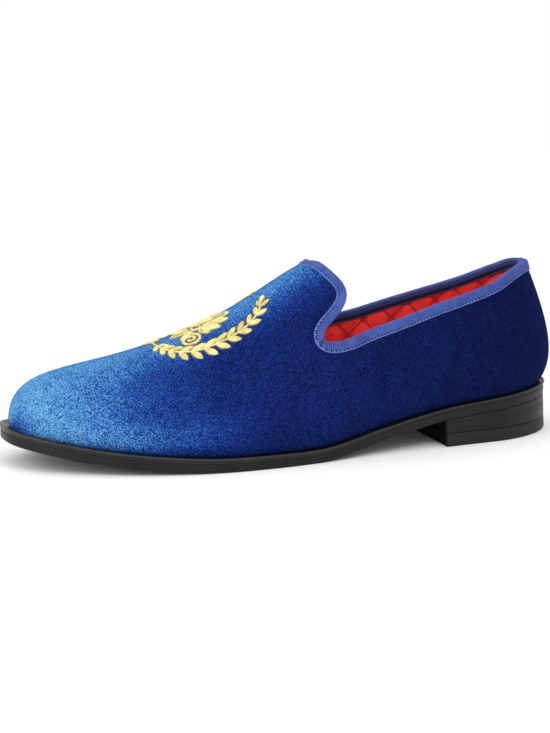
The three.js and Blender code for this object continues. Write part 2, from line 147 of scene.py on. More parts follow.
def curve(xs, ys):
    """A smooth curve through the points, straight beyond its ends."""
    gaps = np.diff(xs)
    pitch = np.diff(ys) / gaps
    inner = (pitch[:-1] * gaps[1:] + pitch[1:] * gaps[:-1]) / (gaps[:-1] + gaps[1:])
    slopes = np.concatenate(([pitch[0]], inner, [pitch[-1]]))

    def at(x):
        x = np.asarray(x, float)
        i = np.clip(np.searchsorted(xs, x, side="right") - 1, 0, len(xs) - 2)
        t = np.clip((x - xs[i]) / gaps[i], 0, 1)
        level = ys[i] * (1 + 2 * t) * (1 - t) ** 2 + ys[i + 1] * t * t * (3 - 2 * t)
        level = level + gaps[i] * (slopes[i] * t * (1 - t) ** 2 + slopes[i + 1] * t * t * (t - 1))
        before = np.minimum(x - xs[0], 0) * slopes[0]
        return level + before + np.maximum(x - xs[-1], 0) * slopes[-1]

    return at


def table(names, rows):
    """A curve for each named column, over the first column."""
    columns = np.array(rows, float).T
    return {name: curve(columns[0], column) for name, column in zip(names, columns[1:])}


last = table(
    ["lateral", "medial", "swing", "bulge", "height", "boxiness", "heel_lift", "toe_lift"],
    [
        [0.00, 0.283, 0.283, 0.000, 0.011, 1.180, 1.30, 1.000, 0.000],
        [0.12, 0.328, 0.322, 0.000, 0.017, 1.185, 1.30, 0.861, 0.000],
        [0.25, 0.372, 0.322, 0.000, 0.028, 1.135, 1.20, 0.680, 0.000],
        [0.37, 0.424, 0.317, 0.000, 0.033, 1.065, 0.95, 0.350, 0.000],
        [0.48, 0.481, 0.350, 0.000, 0.033, 0.974, 0.88, 0.015, 0.000],
        [0.58, 0.528, 0.414, 0.008, 0.028, 0.780, 0.90, -0.014, 0.000],
        [0.68, 0.542, 0.462, 0.016, 0.022, 0.627, 0.95, -0.008, 0.028],
        [0.78, 0.514, 0.459, 0.024, 0.017, 0.503, 0.95, 0.000, 0.188],
        [0.89, 0.457, 0.405, 0.033, 0.011, 0.400, 0.95, 0.000, 0.508],
        [1.00, 0.395, 0.329, 0.038, 0.009, 0.340, 0.95, 0.000, 1.000],
    ],
)
lips = table(
    ["lateral", "medial"],
    [
        [0.00, 0.024, 0.024],
        [0.25, 0.029, 0.028],
        [0.37, 0.036, 0.024],
        [0.48, 0.044, 0.028],
        [0.58, 0.050, 0.044],
        [0.68, 0.051, 0.051],
        [1.00, 0.051, 0.051],
    ],
)


# %% Surface of the last
def round_end(distance, length, power):
    return 1 - np.maximum(0, 1 - distance / length) ** power


def heel_taper(place):
    return np.maximum(0, round_end(place * LENGTH, HEEL_ROUND, 2))


def toe_taper(place):
    return np.maximum(0, round_end((1 - place) * LENGTH, TOE_ROUND, TOE_ROUND_POWER))


def plan_taper(place):
    return np.sqrt(heel_taper(place)) * toe_taper(place) ** (1 / TOE_ROUND_POWER)


def ridge_rise(place):
    drop = np.maximum(0, round_end((1 - place) * LENGTH, TOE_DROP, TOE_DROP_POWER))
    return last["height"](place) * INSTEP_HEIGHT * drop ** (1 / TOE_DROP_POWER)


def lift(place):
    return last["heel_lift"](place) * HEEL_HEIGHT + last["toe_lift"](place) * TOE_SPRING


def feather(place):
    return SOLE + lift(place)


def underside(place):
    return np.maximum(0, lift(place))


def half_width(place, side):
    return np.where(side < 0, last["lateral"](place), last["medial"](place)) * BALL_WIDTH


def lip(place, side):
    return np.where(side < 0, lips["lateral"](place), lips["medial"](place)) * BALL_WIDTH


def swell(rise):
    return rise / SWELL_HEIGHT * np.exp(1 - rise / SWELL_HEIGHT)


def back_shift(place, rise):
    fade = np.clip(1 - place / BACK_FADE, 0, 1) ** 2
    return fade * (BACK_SWELL * swell(rise) - BACK_LEAN * (rise / LEAN_HEIGHT) ** 2)


def skin(place, turn, side):
    """Points of the last: place along it from the heel, turn from feather line to ridge."""
    taper = plan_taper(place)
    rise = ridge_rise(place) * np.sin(turn)
    wide = half_width(place, side) * taper * np.maximum(0, np.cos(turn)) ** last["boxiness"](place)
    out = wide + last["bulge"](place) * BALL_WIDTH * taper * swell(rise)
    x = -LENGTH * place + back_shift(place, rise)
    y = last["swing"](place) * BALL_WIDTH + side * out
    return np.stack(np.broadcast_arrays(x, y, feather(place) + rise), axis=-1)


def place_at(x, z):
    """The place along the last of a point of the side view."""
    place = -x / LENGTH
    for _ in range(12):
        place = (back_shift(place, np.maximum(0, z - feather(place))) - x) / LENGTH
    return place


def skin_at(x, z, side):
    """The point of the last that the side view shows at x and z, on one side."""
    place = place_at(x, z)
    level = np.clip((z - feather(place)) / ridge_rise(place), 0, 1)
    return skin(np.maximum(0, place), np.arcsin(level), side)


def depth(point):
    """Negative inside the last, positive outside it."""
    x, y, z = np.moveaxis(point, -1, 0)
    place = place_at(x, z)
    rise = np.maximum(0, z - feather(place))
    middle = last["swing"](place) * BALL_WIDTH
    side = np.where(y < middle, -1, 1)
    out = np.abs(y - middle) - last["bulge"](place) * BALL_WIDTH * plan_taper(place) * swell(rise)
    across = np.maximum(0, out) / half_width(place, side)
    up = 1 - (rise / ridge_rise(place)) ** 2
    up = np.sign(up) * np.abs(up) ** last["boxiness"](place)
    return across ** 2 - up * heel_taper(place) * toe_taper(place) ** (2 / TOE_ROUND_POWER)


def unit(vectors):
    return vectors / np.maximum(1e-12, np.linalg.norm(vectors, axis=-1, keepdims=True))


PROBE = 0.05


def gradient(point):
    steps = PROBE * np.eye(3)
    return np.stack([depth(point + step) - depth(point - step) for step in steps], -1) / (2 * PROBE)


def outward(point):
    return unit(gradient(point))


def snap(point):
    """The nearest point of the last, for a point close to it."""
    for _ in range(8):
        slope = gradient(point)
        move = np.clip(depth(point) / np.linalg.norm(slope, axis=-1), -1, 1)
        point = point - unit(slope) * move[..., None]
    return point


def places(count, start=0.0, end=1.0):
    """Places that crowd towards both ends."""
    return start + (end - start) * (1 - np.cos(np.pi * np.arange(count + 1) / count)) / 2


# %% [markdown]
# The formulas start at the heel's feather line and the frame starts under the middle of the shoe.
# The shift between them isn't written down. It is measured on the insole's solid, whose outline
# the formulas give too, so this script can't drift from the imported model.

# %% Fit the formulas to the frame
INSOLE_INSET = WALL + 2 * GAP


def outline(move_out, side, list_of_places):
    """Edge of a sole layer on one side, moved square to the feather line."""
    step = PROBE / LENGTH
    before = skin(np.maximum(0, list_of_places - step), 0, side)
    after = skin(np.minimum(1, list_of_places + step), 0, side)
    along = unit((after - before) * [1, 1, 0])
    square = np.stack([-along[:, 1], along[:, 0], 0 * along[:, 0]], axis=-1) * -side
    square[list_of_places == 0] = (1, 0, 0)
    square[list_of_places == 1] = (-1, 0, 0)
    distance = np.broadcast_to(move_out(list_of_places, side), list_of_places.shape)
    return skin(list_of_places, 0, side) + square * distance[:, None]


def find_shift():
    rim = places(400)
    edge = [outline(lambda place, side: -INSOLE_INSET, side, rim) for side in (-1, 1)]
    points = np.vstack(edge)
    low, high = (np.array(corner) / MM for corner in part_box("insole"))
    middle = (points.min(0) + points.max(0)) / 2
    shift = (low + high) / 2 - middle
    shift[2] = 0
    return shift


SHIFT = find_shift()
print("shift in mm:", SHIFT.round(3))

# %% [markdown]
# Every piece is a grid of points, so one helper turns rows of points into a mesh. It welds the
# rows where they meet, at the heel's back and the toe's tip, turns the faces out and shades them
# smooth. A second grid of numbers can ride along as a UV map in millimetres, which ribs, stitches
# and seams are drawn from.


# %% Mesh helpers
def link(name, mesh):
    piece = bpy.data.objects.new(name, mesh)
    bpy.context.scene.collection.objects.link(piece)
    return piece


def grid_faces(rows, columns, wrap_rows=False, wrap_columns=False):
    """Corner numbers of the quads of a grid."""
    i = np.arange(rows if wrap_rows else rows - 1)
    j = np.arange(columns if wrap_columns else columns - 1)
    i, j = np.meshgrid(i, j, indexing="ij")
    ni, nj = (i + 1) % rows, (j + 1) % columns
    corners = [i * columns + j, ni * columns + j, ni * columns + nj, i * columns + nj]
    return np.stack(corners, -1).reshape(-1, 4)


WELD = 0.02                 # points closer than this become one


def build(name, points, faces, uv=None, weld=0.0):
    """A mesh object from points in millimetres. uv holds a pair of numbers for each face corner."""
    mesh = bpy.data.meshes.new(name)
    mesh.from_pydata(((points + SHIFT) * MM).tolist(), [], faces.tolist())
    if uv is not None:
        layer = mesh.uv_layers.new(name="run")
        layer.data.foreach_set("uv", np.ascontiguousarray(uv, dtype=np.float32).ravel())
    work = bmesh.new()
    work.from_mesh(mesh)
    if weld:
        bmesh.ops.remove_doubles(work, verts=work.verts, dist=weld * MM)
        bmesh.ops.dissolve_degenerate(work, edges=work.edges, dist=weld * MM / 10)
    bmesh.ops.recalc_face_normals(work, faces=work.faces)
    loose = [vertex for vertex in work.verts if not vertex.link_faces]
    bmesh.ops.delete(work, geom=loose, context="VERTS")
    work.to_mesh(mesh)
    work.free()
    mesh.shade_smooth()
    return link(name, mesh)


def finish_piece(piece, slot, material, *nodes):
    """Gives a piece its material, and says what it rides on and stands for. Its slot argument is not used.
    """
    piece.data.materials.clear()
    piece.data.materials.append(material)
    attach(piece, "root")
    if nodes:
        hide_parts(*nodes)
    count = sum(len(polygon.vertices) - 2 for polygon in piece.data.polygons)
    print(piece.name, "triangles:", count)
    return piece


def smooth_step(low, high, value):
    t = np.clip((value - low) / (high - low), 0, 1)
    return t * t * (3 - 2 * t)


# %% [markdown]
# Finishes are written as expressions. A wire is one output of a node, and adding or multiplying
# wires adds the Math nodes that do it, so a formula in the script reads as it would on paper. Any
# other node comes from the wire's add method, with its settings first and its inputs after.


# %% Wires for shader maths
class Wire:
    """One output of a shader node. Sums and products of wires add their Math nodes."""

    def __init__(self, tree, socket=None):
        self.tree = tree
        self.socket = socket

    def add(self, kind, settings=None, inputs=None, output=0):
        node = self.tree.nodes.new(kind)
        for name, value in (settings or {}).items():
            setattr(node, name, value)
        for name, value in (inputs or {}).items():
            if isinstance(value, Wire):
                self.tree.links.new(value.socket, node.inputs[name])
            else:
                node.inputs[name].default_value = value
        return Wire(self.tree, node.outputs[output])

    def math(self, operation, *values):
        return self.add("ShaderNodeMath", {"operation": operation}, dict(enumerate(values)))

    def __add__(self, other):
        return self.math("ADD", self, other)

    def __radd__(self, other):
        return self.math("ADD", other, self)

    def __sub__(self, other):
        return self.math("SUBTRACT", self, other)

    def __rsub__(self, other):
        return self.math("SUBTRACT", other, self)

    def __mul__(self, other):
        return self.math("MULTIPLY", self, other)

    def __rmul__(self, other):
        return self.math("MULTIPLY", other, self)

    def __truediv__(self, other):
        return self.math("DIVIDE", self, other)

    def sine(self):
        return self.math("SINE", self)

    def absolute(self):
        return self.math("ABSOLUTE", self)

    def fraction(self):
        return self.math("FRACT", self)

    def ramp(self, stops, interpolation="LINEAR"):
        """Goes through a list of stops, each with a position and a colour or a level."""
        wire = self.add("ShaderNodeValToRGB", None, {"Fac": self})
        scale = wire.socket.node.color_ramp
        scale.interpolation = interpolation
        while len(scale.elements) < len(stops):
            scale.elements.new(1)
        for element, (position, value) in zip(scale.elements, stops):
            element.position = position
            element.color = (*value, 1) if isinstance(value, tuple) else (value, value, value, 1)
        return wire

    def fade(self, low, high, start=0.0, end=1.0):
        """Goes smoothly from start to end as the wire goes from low to high."""
        inputs = {"Value": self, "From Min": low, "From Max": high, "To Min": start, "To Max": end}
        return self.add("ShaderNodeMapRange", {"interpolation_type": "SMOOTHSTEP"}, inputs)

    def mix(self, first, second):
        """Goes from one colour to the other as the wire goes from 0 to 1."""
        inputs = {0: self, 6: rgba(first), 7: rgba(second)}
        return self.add("ShaderNodeMix", {"data_type": "RGBA"}, inputs, output=2)


def rgba(colour):
    return colour if isinstance(colour, Wire) else (*colour, 1)


def srgb(*levels):
    """A colour from the 0 to 255 levels that a screen shows it with."""
    return tuple(((level / 255 + 0.055) / 1.055) ** 2.4 for level in levels)


def noise(vector, scale, detail=2.0, roughness=0.5):
    """Soft noise from 0 to 1, with patches about one over scale metres across."""
    inputs = {"Vector": vector, "Scale": scale, "Detail": detail, "Roughness": roughness}
    return vector.add("ShaderNodeTexNoise", None, inputs)


def cells(vector, scale):
    """Cells one over scale metres across, each with a level of its own from 0 to 1."""
    inputs = {"Vector": vector, "Scale": scale}
    return parts(vector.add("ShaderNodeTexVoronoi", None, inputs, output=1))[0]


def stretched(vector, scale):
    return vector.add("ShaderNodeVectorMath", {"operation": "MULTIPLY"}, {0: vector, 1: scale})


def start_material(name):
    """An empty material, with a wire for the place on the object."""
    material = bpy.data.materials.new(name)
    material.use_nodes = True
    tree = material.node_tree
    tree.nodes.clear()
    first = Wire(tree)
    spot = first.add("ShaderNodeTexCoord", output="Object")
    return material, spot


def parts(vector):
    """The x, y and z of a vector, as three wires."""
    x = vector.add("ShaderNodeSeparateXYZ", None, {"Vector": vector})
    return x, Wire(x.tree, x.socket.node.outputs["Y"]), Wire(x.tree, x.socket.node.outputs["Z"])


def bump(height, distance, strength=1.0):
    """A normal from a height, where 1 stands for a distance in metres."""
    inputs = {"Height": height, "Distance": distance, "Strength": strength}
    return height.add("ShaderNodeBump", None, inputs)


def end_material(material, spot, inputs):
    """Feeds a Principled shader and the material's output."""
    inputs = {name: rgba(v) if name.endswith(("Color", "Tint")) else v for name, v in inputs.items()}
    shader = spot.add("ShaderNodeBsdfPrincipled", None, inputs)
    output = spot.tree.nodes.new("ShaderNodeOutputMaterial")
    spot.tree.links.new(shader.socket, output.inputs["Surface"])
    return material


# %% [markdown]
# Velvet is dark where its pile points at the eye and bright where it is seen from the side. The
# cloth could be made of hair, but from any usual distance its colour carries the effect. Sheen and
# light are painted into that colour: brighter over the toe, along the ridge and low on the forepart,
# darker towards the heel, with painted shade low at the toe's tip and where the cloth turns under at
# the sole. The UV map, which holds the place along the last and the turn up its side, says where.
# Noise breaks the change into patches and single tufts, and faint cords run round the shoe where the
# backing shows.

# %% Velvet
PILE_SHARE = 0.70            # of a shown colour that is left to the cloth, the rest is the light
SHEEN_RAMP = [
    # level of painted sheen, with the colour that shows
    (0.00, (11, 16, 48)), (0.10, (17, 25, 71)), (0.25, (25, 42, 112)), (0.40, (30, 59, 146)),
    (0.55, (41, 86, 179)), (0.70, (58, 120, 205)), (0.85, (80, 149, 217)), (1.00, (116, 188, 233)),
]
SIDE_SHEEN = [
    # place along the last, with the level of painted sheen on the sides
    (0.00, 0.08), (0.20, 0.11), (0.40, 0.16), (0.50, 0.19), (0.60, 0.22), (0.70, 0.28),
    (0.80, 0.44), (0.90, 0.70), (0.96, 0.95), (1.00, 0.78),
]
RIDGE_SHEEN = 0.92
CORD_PITCH = 1.40 * MM
FOOT_SHADE = (0.0012, 0.0018, 0.006)


def velvet():
    material, spot = start_material("velvet")
    x, _, _ = parts(spot)
    place, turn, _ = parts(spot.add("ShaderNodeTexCoord", output="UV"))
    rise = place.fade(0.3, 1.0, 100, 28) * (turn * (math.pi / 2)).sine()
    patches = noise(spot, 26, 3, 0.55)
    clouds = noise(spot, 75, 3, 0.6)
    tufts = noise(spot, 2700, 1, 0.6)
    specks = cells(spot, 2300)
    # Painted sheen: the sides brighten towards the toe, the ridge and the low forepart are lit up, and the
    # toe's tip is left in painted shade low down.
    sides = place.ramp(SIDE_SHEEN, "CARDINAL")
    ridge = turn.fade(0.55, 1.22) * place.fade(0.38, 0.47)
    flare = turn.fade(0.02, 0.08) * turn.fade(0.30, 0.12) * place.fade(0.6, 0.72) * place.fade(0.95, 0.85)
    tip = place.fade(0.95, 1.0) * turn.fade(0.8, 0.0)
    painted_sheen = sides + ridge * (RIDGE_SHEEN - sides) + flare * 0.12 - tip * 0.35
    drift = (patches - 0.5) * 0.55 + (clouds - 0.5) * 0.6
    cords = ((x + (clouds - 0.5) * (0.4 * MM)) * (2 * math.pi / CORD_PITCH)).sine()
    worn = turn.fade(0.2, 0.7) * place.fade(0.98, 0.93) * (specks * 0.6 + patches.fade(0.3, 0.6) * 0.5)
    sparkle = (tufts - 0.5) * 3.0 + (specks - 0.5) * 1.2 + cords * worn * 0.15
    sheen_and_tufts = painted_sheen * (drift + 1) + (painted_sheen * 0.85 + 0.08) * sparkle
    # Painted shade where the cloth turns under at the feather line.
    foot = rise.fade(1.5, 0.4)
    shown = [(level, tuple(PILE_SHARE * part for part in srgb(*tint))) for level, tint in SHEEN_RAMP]
    colour = (foot * 0.9).mix(sheen_and_tufts.ramp(shown), FOOT_SHADE)
    pile = tufts * 0.5 + specks * 0.5 + cords * worn * 0.3
    return end_material(material, spot, {
        "Base Color": colour,
        "Roughness": 0.9,
        "Specular IOR Level": 0.0,
        "Sheen Weight": 0.07,
        "Sheen Roughness": 0.4,
        "Sheen Tint": (0.22, 0.40, 1.0),
        "Normal": bump(pile, 0.30 * MM, 0.8),
    })


VELVET = velvet()

# %% [markdown]
# The opening's edge is one smooth line in the side view. The upper's surface is cut along it, and
# the ribbon is wrapped round it, so both are worked out from the same short table.

# %% Line of the topline
TOPLINE = np.array([
    [-0.060, 1.000, 1.000, 0.000],
    [0.000, 1.000, 1.000, 0.000],
    [0.042, 1.016, 1.008, 0.000],
    [0.068, 1.008, 0.955, 0.000],
    [0.093, 0.982, 0.907, 0.000],
    [0.122, 0.934, 0.862, 0.000],
    [0.156, 0.896, 0.830, 0.000],
    [0.207, 0.856, 0.794, 0.000],
    [0.256, 0.829, 0.768, 0.000],
    [0.297, 0.810, 0.754, 0.000],
    [0.336, 0.800, 0.746, 0.000],
    [0.388, 0.790, 0.752, 0.000],
    [0.425, 0.777, 0.754, 0.000],
    [0.447, 0.784, 0.764, 0.000],
    [0.465, 0.805, 0.789, 0.000],
    [0.474, 0.840, 0.826, 0.000],
    [0.474, 0.883, 0.869, 0.000],
    [0.466, 0.000, 0.000, 0.678],
    [0.451, 0.000, 0.000, 0.712],
    [0.435, 0.000, 0.000, 0.750],
    [0.4245, 0.000, 0.000, 0.790],
    [0.4205, 0.000, 0.000, 0.834],
    [0.4235, 0.000, 0.000, 0.880],
    [0.432, 0.000, 0.000, 0.930],
    [0.4435, 0.000, 0.000, 0.985],
    [0.458, 0.000, 0.000, 1.060],
    [0.472, 0.000, 0.000, 1.140],
])   # place, then height: lateral or medial of COLLAR_HEIGHT plus the last column of INSTEP_HEIGHT
STEPS_BETWEEN = 60


def side_line(side):
    """Side view of the opening's edge, x and z, from behind the heel to above the tab."""
    place, collar, instep = TOPLINE[:, 0], TOPLINE[:, 1 if side < 0 else 2], TOPLINE[:, 3]
    level = feather(np.maximum(0, place)) + collar * COLLAR_HEIGHT + instep * INSTEP_HEIGHT
    knots = np.stack([-place * LENGTH, level], -1)
    knots = np.vstack([2 * knots[0] - knots[1], knots, 2 * knots[-1] - knots[-2]])
    gaps = np.linalg.norm(np.diff(knots, axis=0), axis=1) ** 0.5
    line = []
    for i in range(1, len(knots) - 2):
        before, start, end, after = knots[i - 1:i + 3]
        a, b, c = gaps[i - 1:i + 2]
        leave = b * ((start - before) / a - (end - before) / (a + b) + (end - start) / b)
        arrive = b * ((end - start) / b - (after - start) / (b + c) + (after - end) / c)
        t = np.linspace(0, 1, STEPS_BETWEEN, endpoint=False)[:, None]
        stretch = start * (1 + 2 * t) * (1 - t) ** 2 + end * t * t * (3 - 2 * t)
        line.append(stretch + leave * t * (1 - t) ** 2 + arrive * t * t * (t - 1))
    return np.vstack(line)


LINES = {side: side_line(side) for side in (-1, 1)}


def above_line(x, z, side):
    """Signed distance from the opening's edge in the side view, and the way away from it."""
    line = LINES[side]
    spots = np.stack([x, z], -1)
    nearest = np.zeros(len(spots), int)
    for start in range(0, len(spots), 4000):
        part = spots[start:start + 4000]
        gap = ((part[:, None, :] - line[None, :, :]) ** 2).sum(-1)
        nearest[start:start + 4000] = gap.argmin(1)
    nearest = np.clip(nearest, 1, len(line) - 2)
    along = unit(line[nearest + 1] - line[nearest - 1])
    away = np.stack([along[:, 1], -along[:, 0]], -1)
    return ((spots - line[nearest]) * away).sum(-1), away


print("topline points:", {side: len(line) for side, line in LINES.items()})

# %% [markdown]
# The upper is a single shell without visible seams in front, drawn over the last and stitched at
# the heel's back. It is sampled from the formula every millimetre or two. Soft troughs are pressed
# into it where a foot flexes it and where the quarter was lasted, each with a place, a height, a
# length, a depth and a lean of its own. Points near the opening are moved onto its line.

# %% Creases listed one by one
CREASES = [
    # place, share of the rise, side, half length, half width, depth, lean
    (0.640, 0.62, -1, 17, 5.0, 0.34, 0.50),
    (0.600, 0.70, -1, 20, 6.0, 0.28, 0.42),
    (0.665, 0.40, -1, 14, 5.0, 0.22, 0.60),
    (0.635, 0.62, 1, 17, 5.0, 0.34, -0.50),
    (0.595, 0.70, 1, 20, 6.0, 0.28, -0.42),
    (0.420, 0.38, -1, 22, 8.0, 0.30, -0.30),
    (0.400, 0.36, 1, 20, 8.0, 0.35, 0.25),
    (0.170, 0.50, -1, 18, 9.0, 0.30, 0.10),
    (0.160, 0.50, 1, 18, 9.0, 0.30, -0.10),
    (0.900, 0.45, -1, 16, 7.0, 0.16, 0.90),
]
RIDGE_SHARE = 0.45          # the cloth stands up beside a trough by this share of its depth
SEAM_DEPTH, SEAM_WIDTH = 0.45, 0.7


def crease_depth(point, side):
    """How far the listed creases press a point in, in millimetres."""
    pressed = np.zeros(point.shape[:-1])
    for place, share, on_side, long, wide, deep, lean in CREASES:
        centre = skin(place, math.asin(share), on_side)
        off = point - centre
        along = (off[..., 2] + lean * off[..., 0]) / math.hypot(1, lean)
        across = (off[..., 0] - lean * off[..., 2]) / math.hypot(1, lean)
        reach = np.exp(-(along / long) ** 2) * (side == on_side)
        profile = np.exp(-(across / wide) ** 2) - RIDGE_SHARE * np.exp(-((across - 2 * wide) / wide) ** 2)
        pressed += deep * reach * profile
    return pressed


def seam_depth(point):
    """The closed seam down the heel's back."""
    behind = smooth_step(-20, 0, point[..., 0])
    return SEAM_DEPTH * behind * np.exp(-(point[..., 1] / SEAM_WIDTH) ** 2)


# %% Shell of the upper
def last_grid(stations, steps):
    """Rows of points over the last, from lateral to medial feather line, with sides and turns."""
    place = places(stations)[:, None]
    share = np.linspace(0, 1, steps + 1) ** 1.15
    turn = share[None, :] * math.pi / 2
    near = skin(place, turn, -1)
    far = skin(place, turn, 1)[:, ::-1]
    sides = np.concatenate([-np.ones(steps + 1, int), np.ones(steps, int)])
    shares = np.concatenate([share, share[::-1][1:]])
    return np.concatenate([near, far[:, 1:]], axis=1), sides, shares


def cut_opening(points, sides, edge, reach):
    """Moves points near the cut onto it, and says which lie past it."""
    past = np.zeros(points.shape[:2], bool)
    for side in (-1, 1):
        columns = np.where(sides == side)[0]
        part = points[:, columns].reshape(-1, 3)
        away_by, away = above_line(part[:, 0], part[:, 2], side)
        off = away_by - edge
        close = np.abs(off) < reach
        x = part[:, 0] - np.where(close, off, 0) * away[:, 0]
        z = part[:, 2] - np.where(close, off, 0) * away[:, 1]
        part[close] = skin_at(x[close], z[close], side)
        points[:, columns] = part.reshape(len(points), -1, 3)
        past[:, columns] = (off >= reach).reshape(len(points), -1)
    return past


def shell(name, stations, steps, edge, inwards, relief, drop):
    """A sheet over the last, cut along the opening, at a depth under the skin."""
    points, sides, shares = last_grid(stations, steps)
    uv = np.stack(np.broadcast_arrays(places(stations)[:, None], shares[None, :]), -1).reshape(-1, 2)
    past = cut_opening(points, sides, edge, CUT_REACH)
    flat = points.reshape(-1, 3)
    normals = outward_of_grid(points)
    pressed = inwards + relief(points, sides[None, :])
    moved = flat - normals.reshape(-1, 3) * pressed.reshape(-1, 1)
    moved[:, 2] -= drop * foot_share(flat)
    faces = grid_faces(points.shape[0], points.shape[1])
    faces = faces[~past.reshape(-1)[faces].any(axis=1)]
    return build(name, moved, faces, uv=uv[faces], weld=WELD)


def outward_of_grid(points):
    """Unit normals of a grid over the last."""
    rows = np.gradient(points, axis=0)
    columns = np.gradient(points, axis=1)
    normals = np.cross(columns, rows)
    short = np.linalg.norm(normals, axis=-1) < 1e-6
    normals = unit(normals)
    middle = np.array([-LENGTH / 2, 0, SOLE])
    outwards = unit(points - middle)
    flip = np.sign((normals * outwards).sum(-1, keepdims=True))
    normals = np.where(flip == 0, normals, normals * flip)
    normals[short] = outwards[short]
    return normals


CUT_REACH = 0.62            # points this near to the cut are moved onto it
VELVET_THICKNESS = 1.0
CUT_BELOW_EDGE = -2.6       # the velvet stops this far under the ribbon's fold
FOOT_TURN, FOOT_RISE = 0.9, 1.1
FOOT_DROP = 2.2


def foot_share(points):
    """1 at the feather line, where the cloth turns under between last and sole, and 0 above it."""
    rise = points[..., 2] - feather(np.clip(place_at(points[..., 0], points[..., 2]), 0, 1))
    return np.exp(-(rise / FOOT_RISE) ** 2)


def upper_relief(points, sides):
    side = np.broadcast_to(sides, points.shape[:2])
    return crease_depth(points, side) + seam_depth(points) + FOOT_TURN * foot_share(points)


upper = shell("upper_velvet", 236, 74, CUT_BELOW_EDGE, 0, upper_relief, FOOT_DROP)
thicken = upper.modifiers.new("thickness", "SOLIDIFY")
thicken.thickness = VELVET_THICKNESS * MM
thicken.offset = -1
finish_piece(upper, "velvet", VELVET, "upper")

# %% [markdown]
# The inside is quilted satin: lines of stitches cross in diamonds and pull the soft layer down,
# and the cloth puffs up between them. Bump alone would look painted on, so the diamonds are real
# relief. Satin shines along its threads, which a low roughness and a tinted coat imitate.

# %% Lining
QUILT = 16.5                # from corner to corner of a diamond
QUILT_PUFF = 1.25
LINING_DEPTH = 2.1
LINING_THICKNESS = 0.7
SCARLET = (0.95, 0.057, 0.048)
CRIMSON = (0.60, 0.018, 0.022)
CREASE_SHADE_RED = (0.16, 0.004, 0.008)


def quilt(s, t):
    """Height of the quilting, 0 in its stitched lines and 1 in the middle of a diamond."""
    first = np.abs(np.sin(math.pi * (s + t) / QUILT))
    second = np.abs(np.sin(math.pi * (s - t) / QUILT))
    return (first * second) ** 0.45


def satin(name, across_axis):
    """Red satin, with painted shade in the lines where the quilting of a piece is stitched down."""
    material, spot = start_material(name)
    axes = parts(spot)
    start = math.pi * SHIFT / QUILT
    sway = noise(spot, 55, 2, 0.5) - 0.5
    along = axes[0] * (math.pi / (QUILT * MM)) - start[0] + sway * 0.35
    across = axes[across_axis] * (math.pi / (QUILT * MM)) - start[across_axis] + sway * 0.25
    first = (across - along).sine().absolute()
    second = (across + along).sine().absolute()
    crush = noise(spot, 260, 3, 0.6)
    threads = noise(stretched(spot, (1.0, 1.0, 8.0)), 900, 1, 0.5)
    shade = noise(spot, 60, 2, 0.5)
    tone = shade * 0.5 + crush * 0.35 + threads * 0.15
    colour = tone.fade(0.25, 0.6).mix(CRIMSON, SCARLET)
    # Painted shade in the stitched lines, where the cloth is pulled down between the puffs.
    stitched = (first * second).fade(0.30, 0.0)
    colour = (stitched * stitched * 0.7).mix(colour, CREASE_SHADE_RED)
    return end_material(material, spot, {
        "Base Color": colour,
        "Roughness": crush.fade(0.3, 0.7, 0.38, 0.55),
        "Sheen Weight": 0.3,
        "Sheen Roughness": 0.4,
        "Sheen Tint": (1.0, 0.2, 0.15),
        "Coat Weight": 0.12,
        "Coat Roughness": 0.35,
        "Normal": bump(crush * 0.7 + threads * 0.3, 0.5 * MM, 0.7),
    })


def lining_relief(points, sides):
    along = -points[..., 0]
    return QUILT_PUFF * quilt(along, points[..., 2])


SATIN = satin("quilted_satin", 2)
lining = shell("quilted_lining", 220, 60, CUT_BELOW_EDGE, LINING_DEPTH - QUILT_PUFF, lining_relief, 0)
thicken = lining.modifiers.new("thickness", "SOLIDIFY")
thicken.thickness = LINING_THICKNESS * MM
thicken.offset = 0
finish_piece(lining, "lining", SATIN)

# %% [markdown]
# The topline is bound with a ribbed ribbon, folded over the edge and stitched through. A curve
# with a bevel can't keep the fold square to the cut, so the ribbon's section is swept by hand: one
# leg lies on the velvet, one on the lining, and the fold between them is rolled. Its UV map holds
# the run along the ribbon and the way across it, which place the ribs and the stitch holes. At the
# heel's back the ribbon's end is folded over its start, as a short piece of its own.

# %% Ribbon
RIBBON = 0.7                # its thickness
OVER_VELVET, OVER_LINING = 0.18, 0.25
LEG = 4.7                   # width of each leg
RIBBON_STEP = 0.62          # between sections along the topline
COARSE_STEP = 2.0           # enough where only the length is wanted
STITCH_PITCH = 2.0
STITCH_INSET = 0.85         # from the ribbon's lower edge to its stitches
STITCH_FACE = LEG - STITCH_INSET
RIDGE_DROOP = 1.9           # the ribbon is pulled down flat where it crosses the ridge
DROOP_NEAR, DROOP_FAR = 5.0, 12.0
RIDGE_THIN, THIN_REACH = 0.45, 9.0
RIDGE_SOFTNESS, RIDGE_REACH = 4.0, 12.0
BACK_SOFTNESS, JOIN_REACH = 2.5, 9.0
RIB_PITCH = 0.92
PLEAT_SETBACK = 2.6
JOIN_HALF, JOIN_LIFT = 4.0, 0.38
FOLD_HEIGHT = 0.42           # the fold stands this share of a half circle above the edge
PERIWINKLE = srgb(80, 103, 182)
PERIWINKLE_DARK = srgb(30, 46, 112)
PERIWINKLE_LIGHT = srgb(108, 130, 205)
INSIDE_SHADE_NAVY = srgb(72, 88, 154)
INSIDE_SHADOW_BLACK = srgb(14, 20, 48)
INSIDE_EDGE = srgb(84, 80, 130)
HOLE_AND_PLEAT_SHADE = srgb(16, 22, 60)
# Painted shade: how much darker the ribbon is painted at the heel than at the tab.
RIBBON_HEEL_SHADE = 0.30              # the ribbon is this much darker at the heel than at the tab


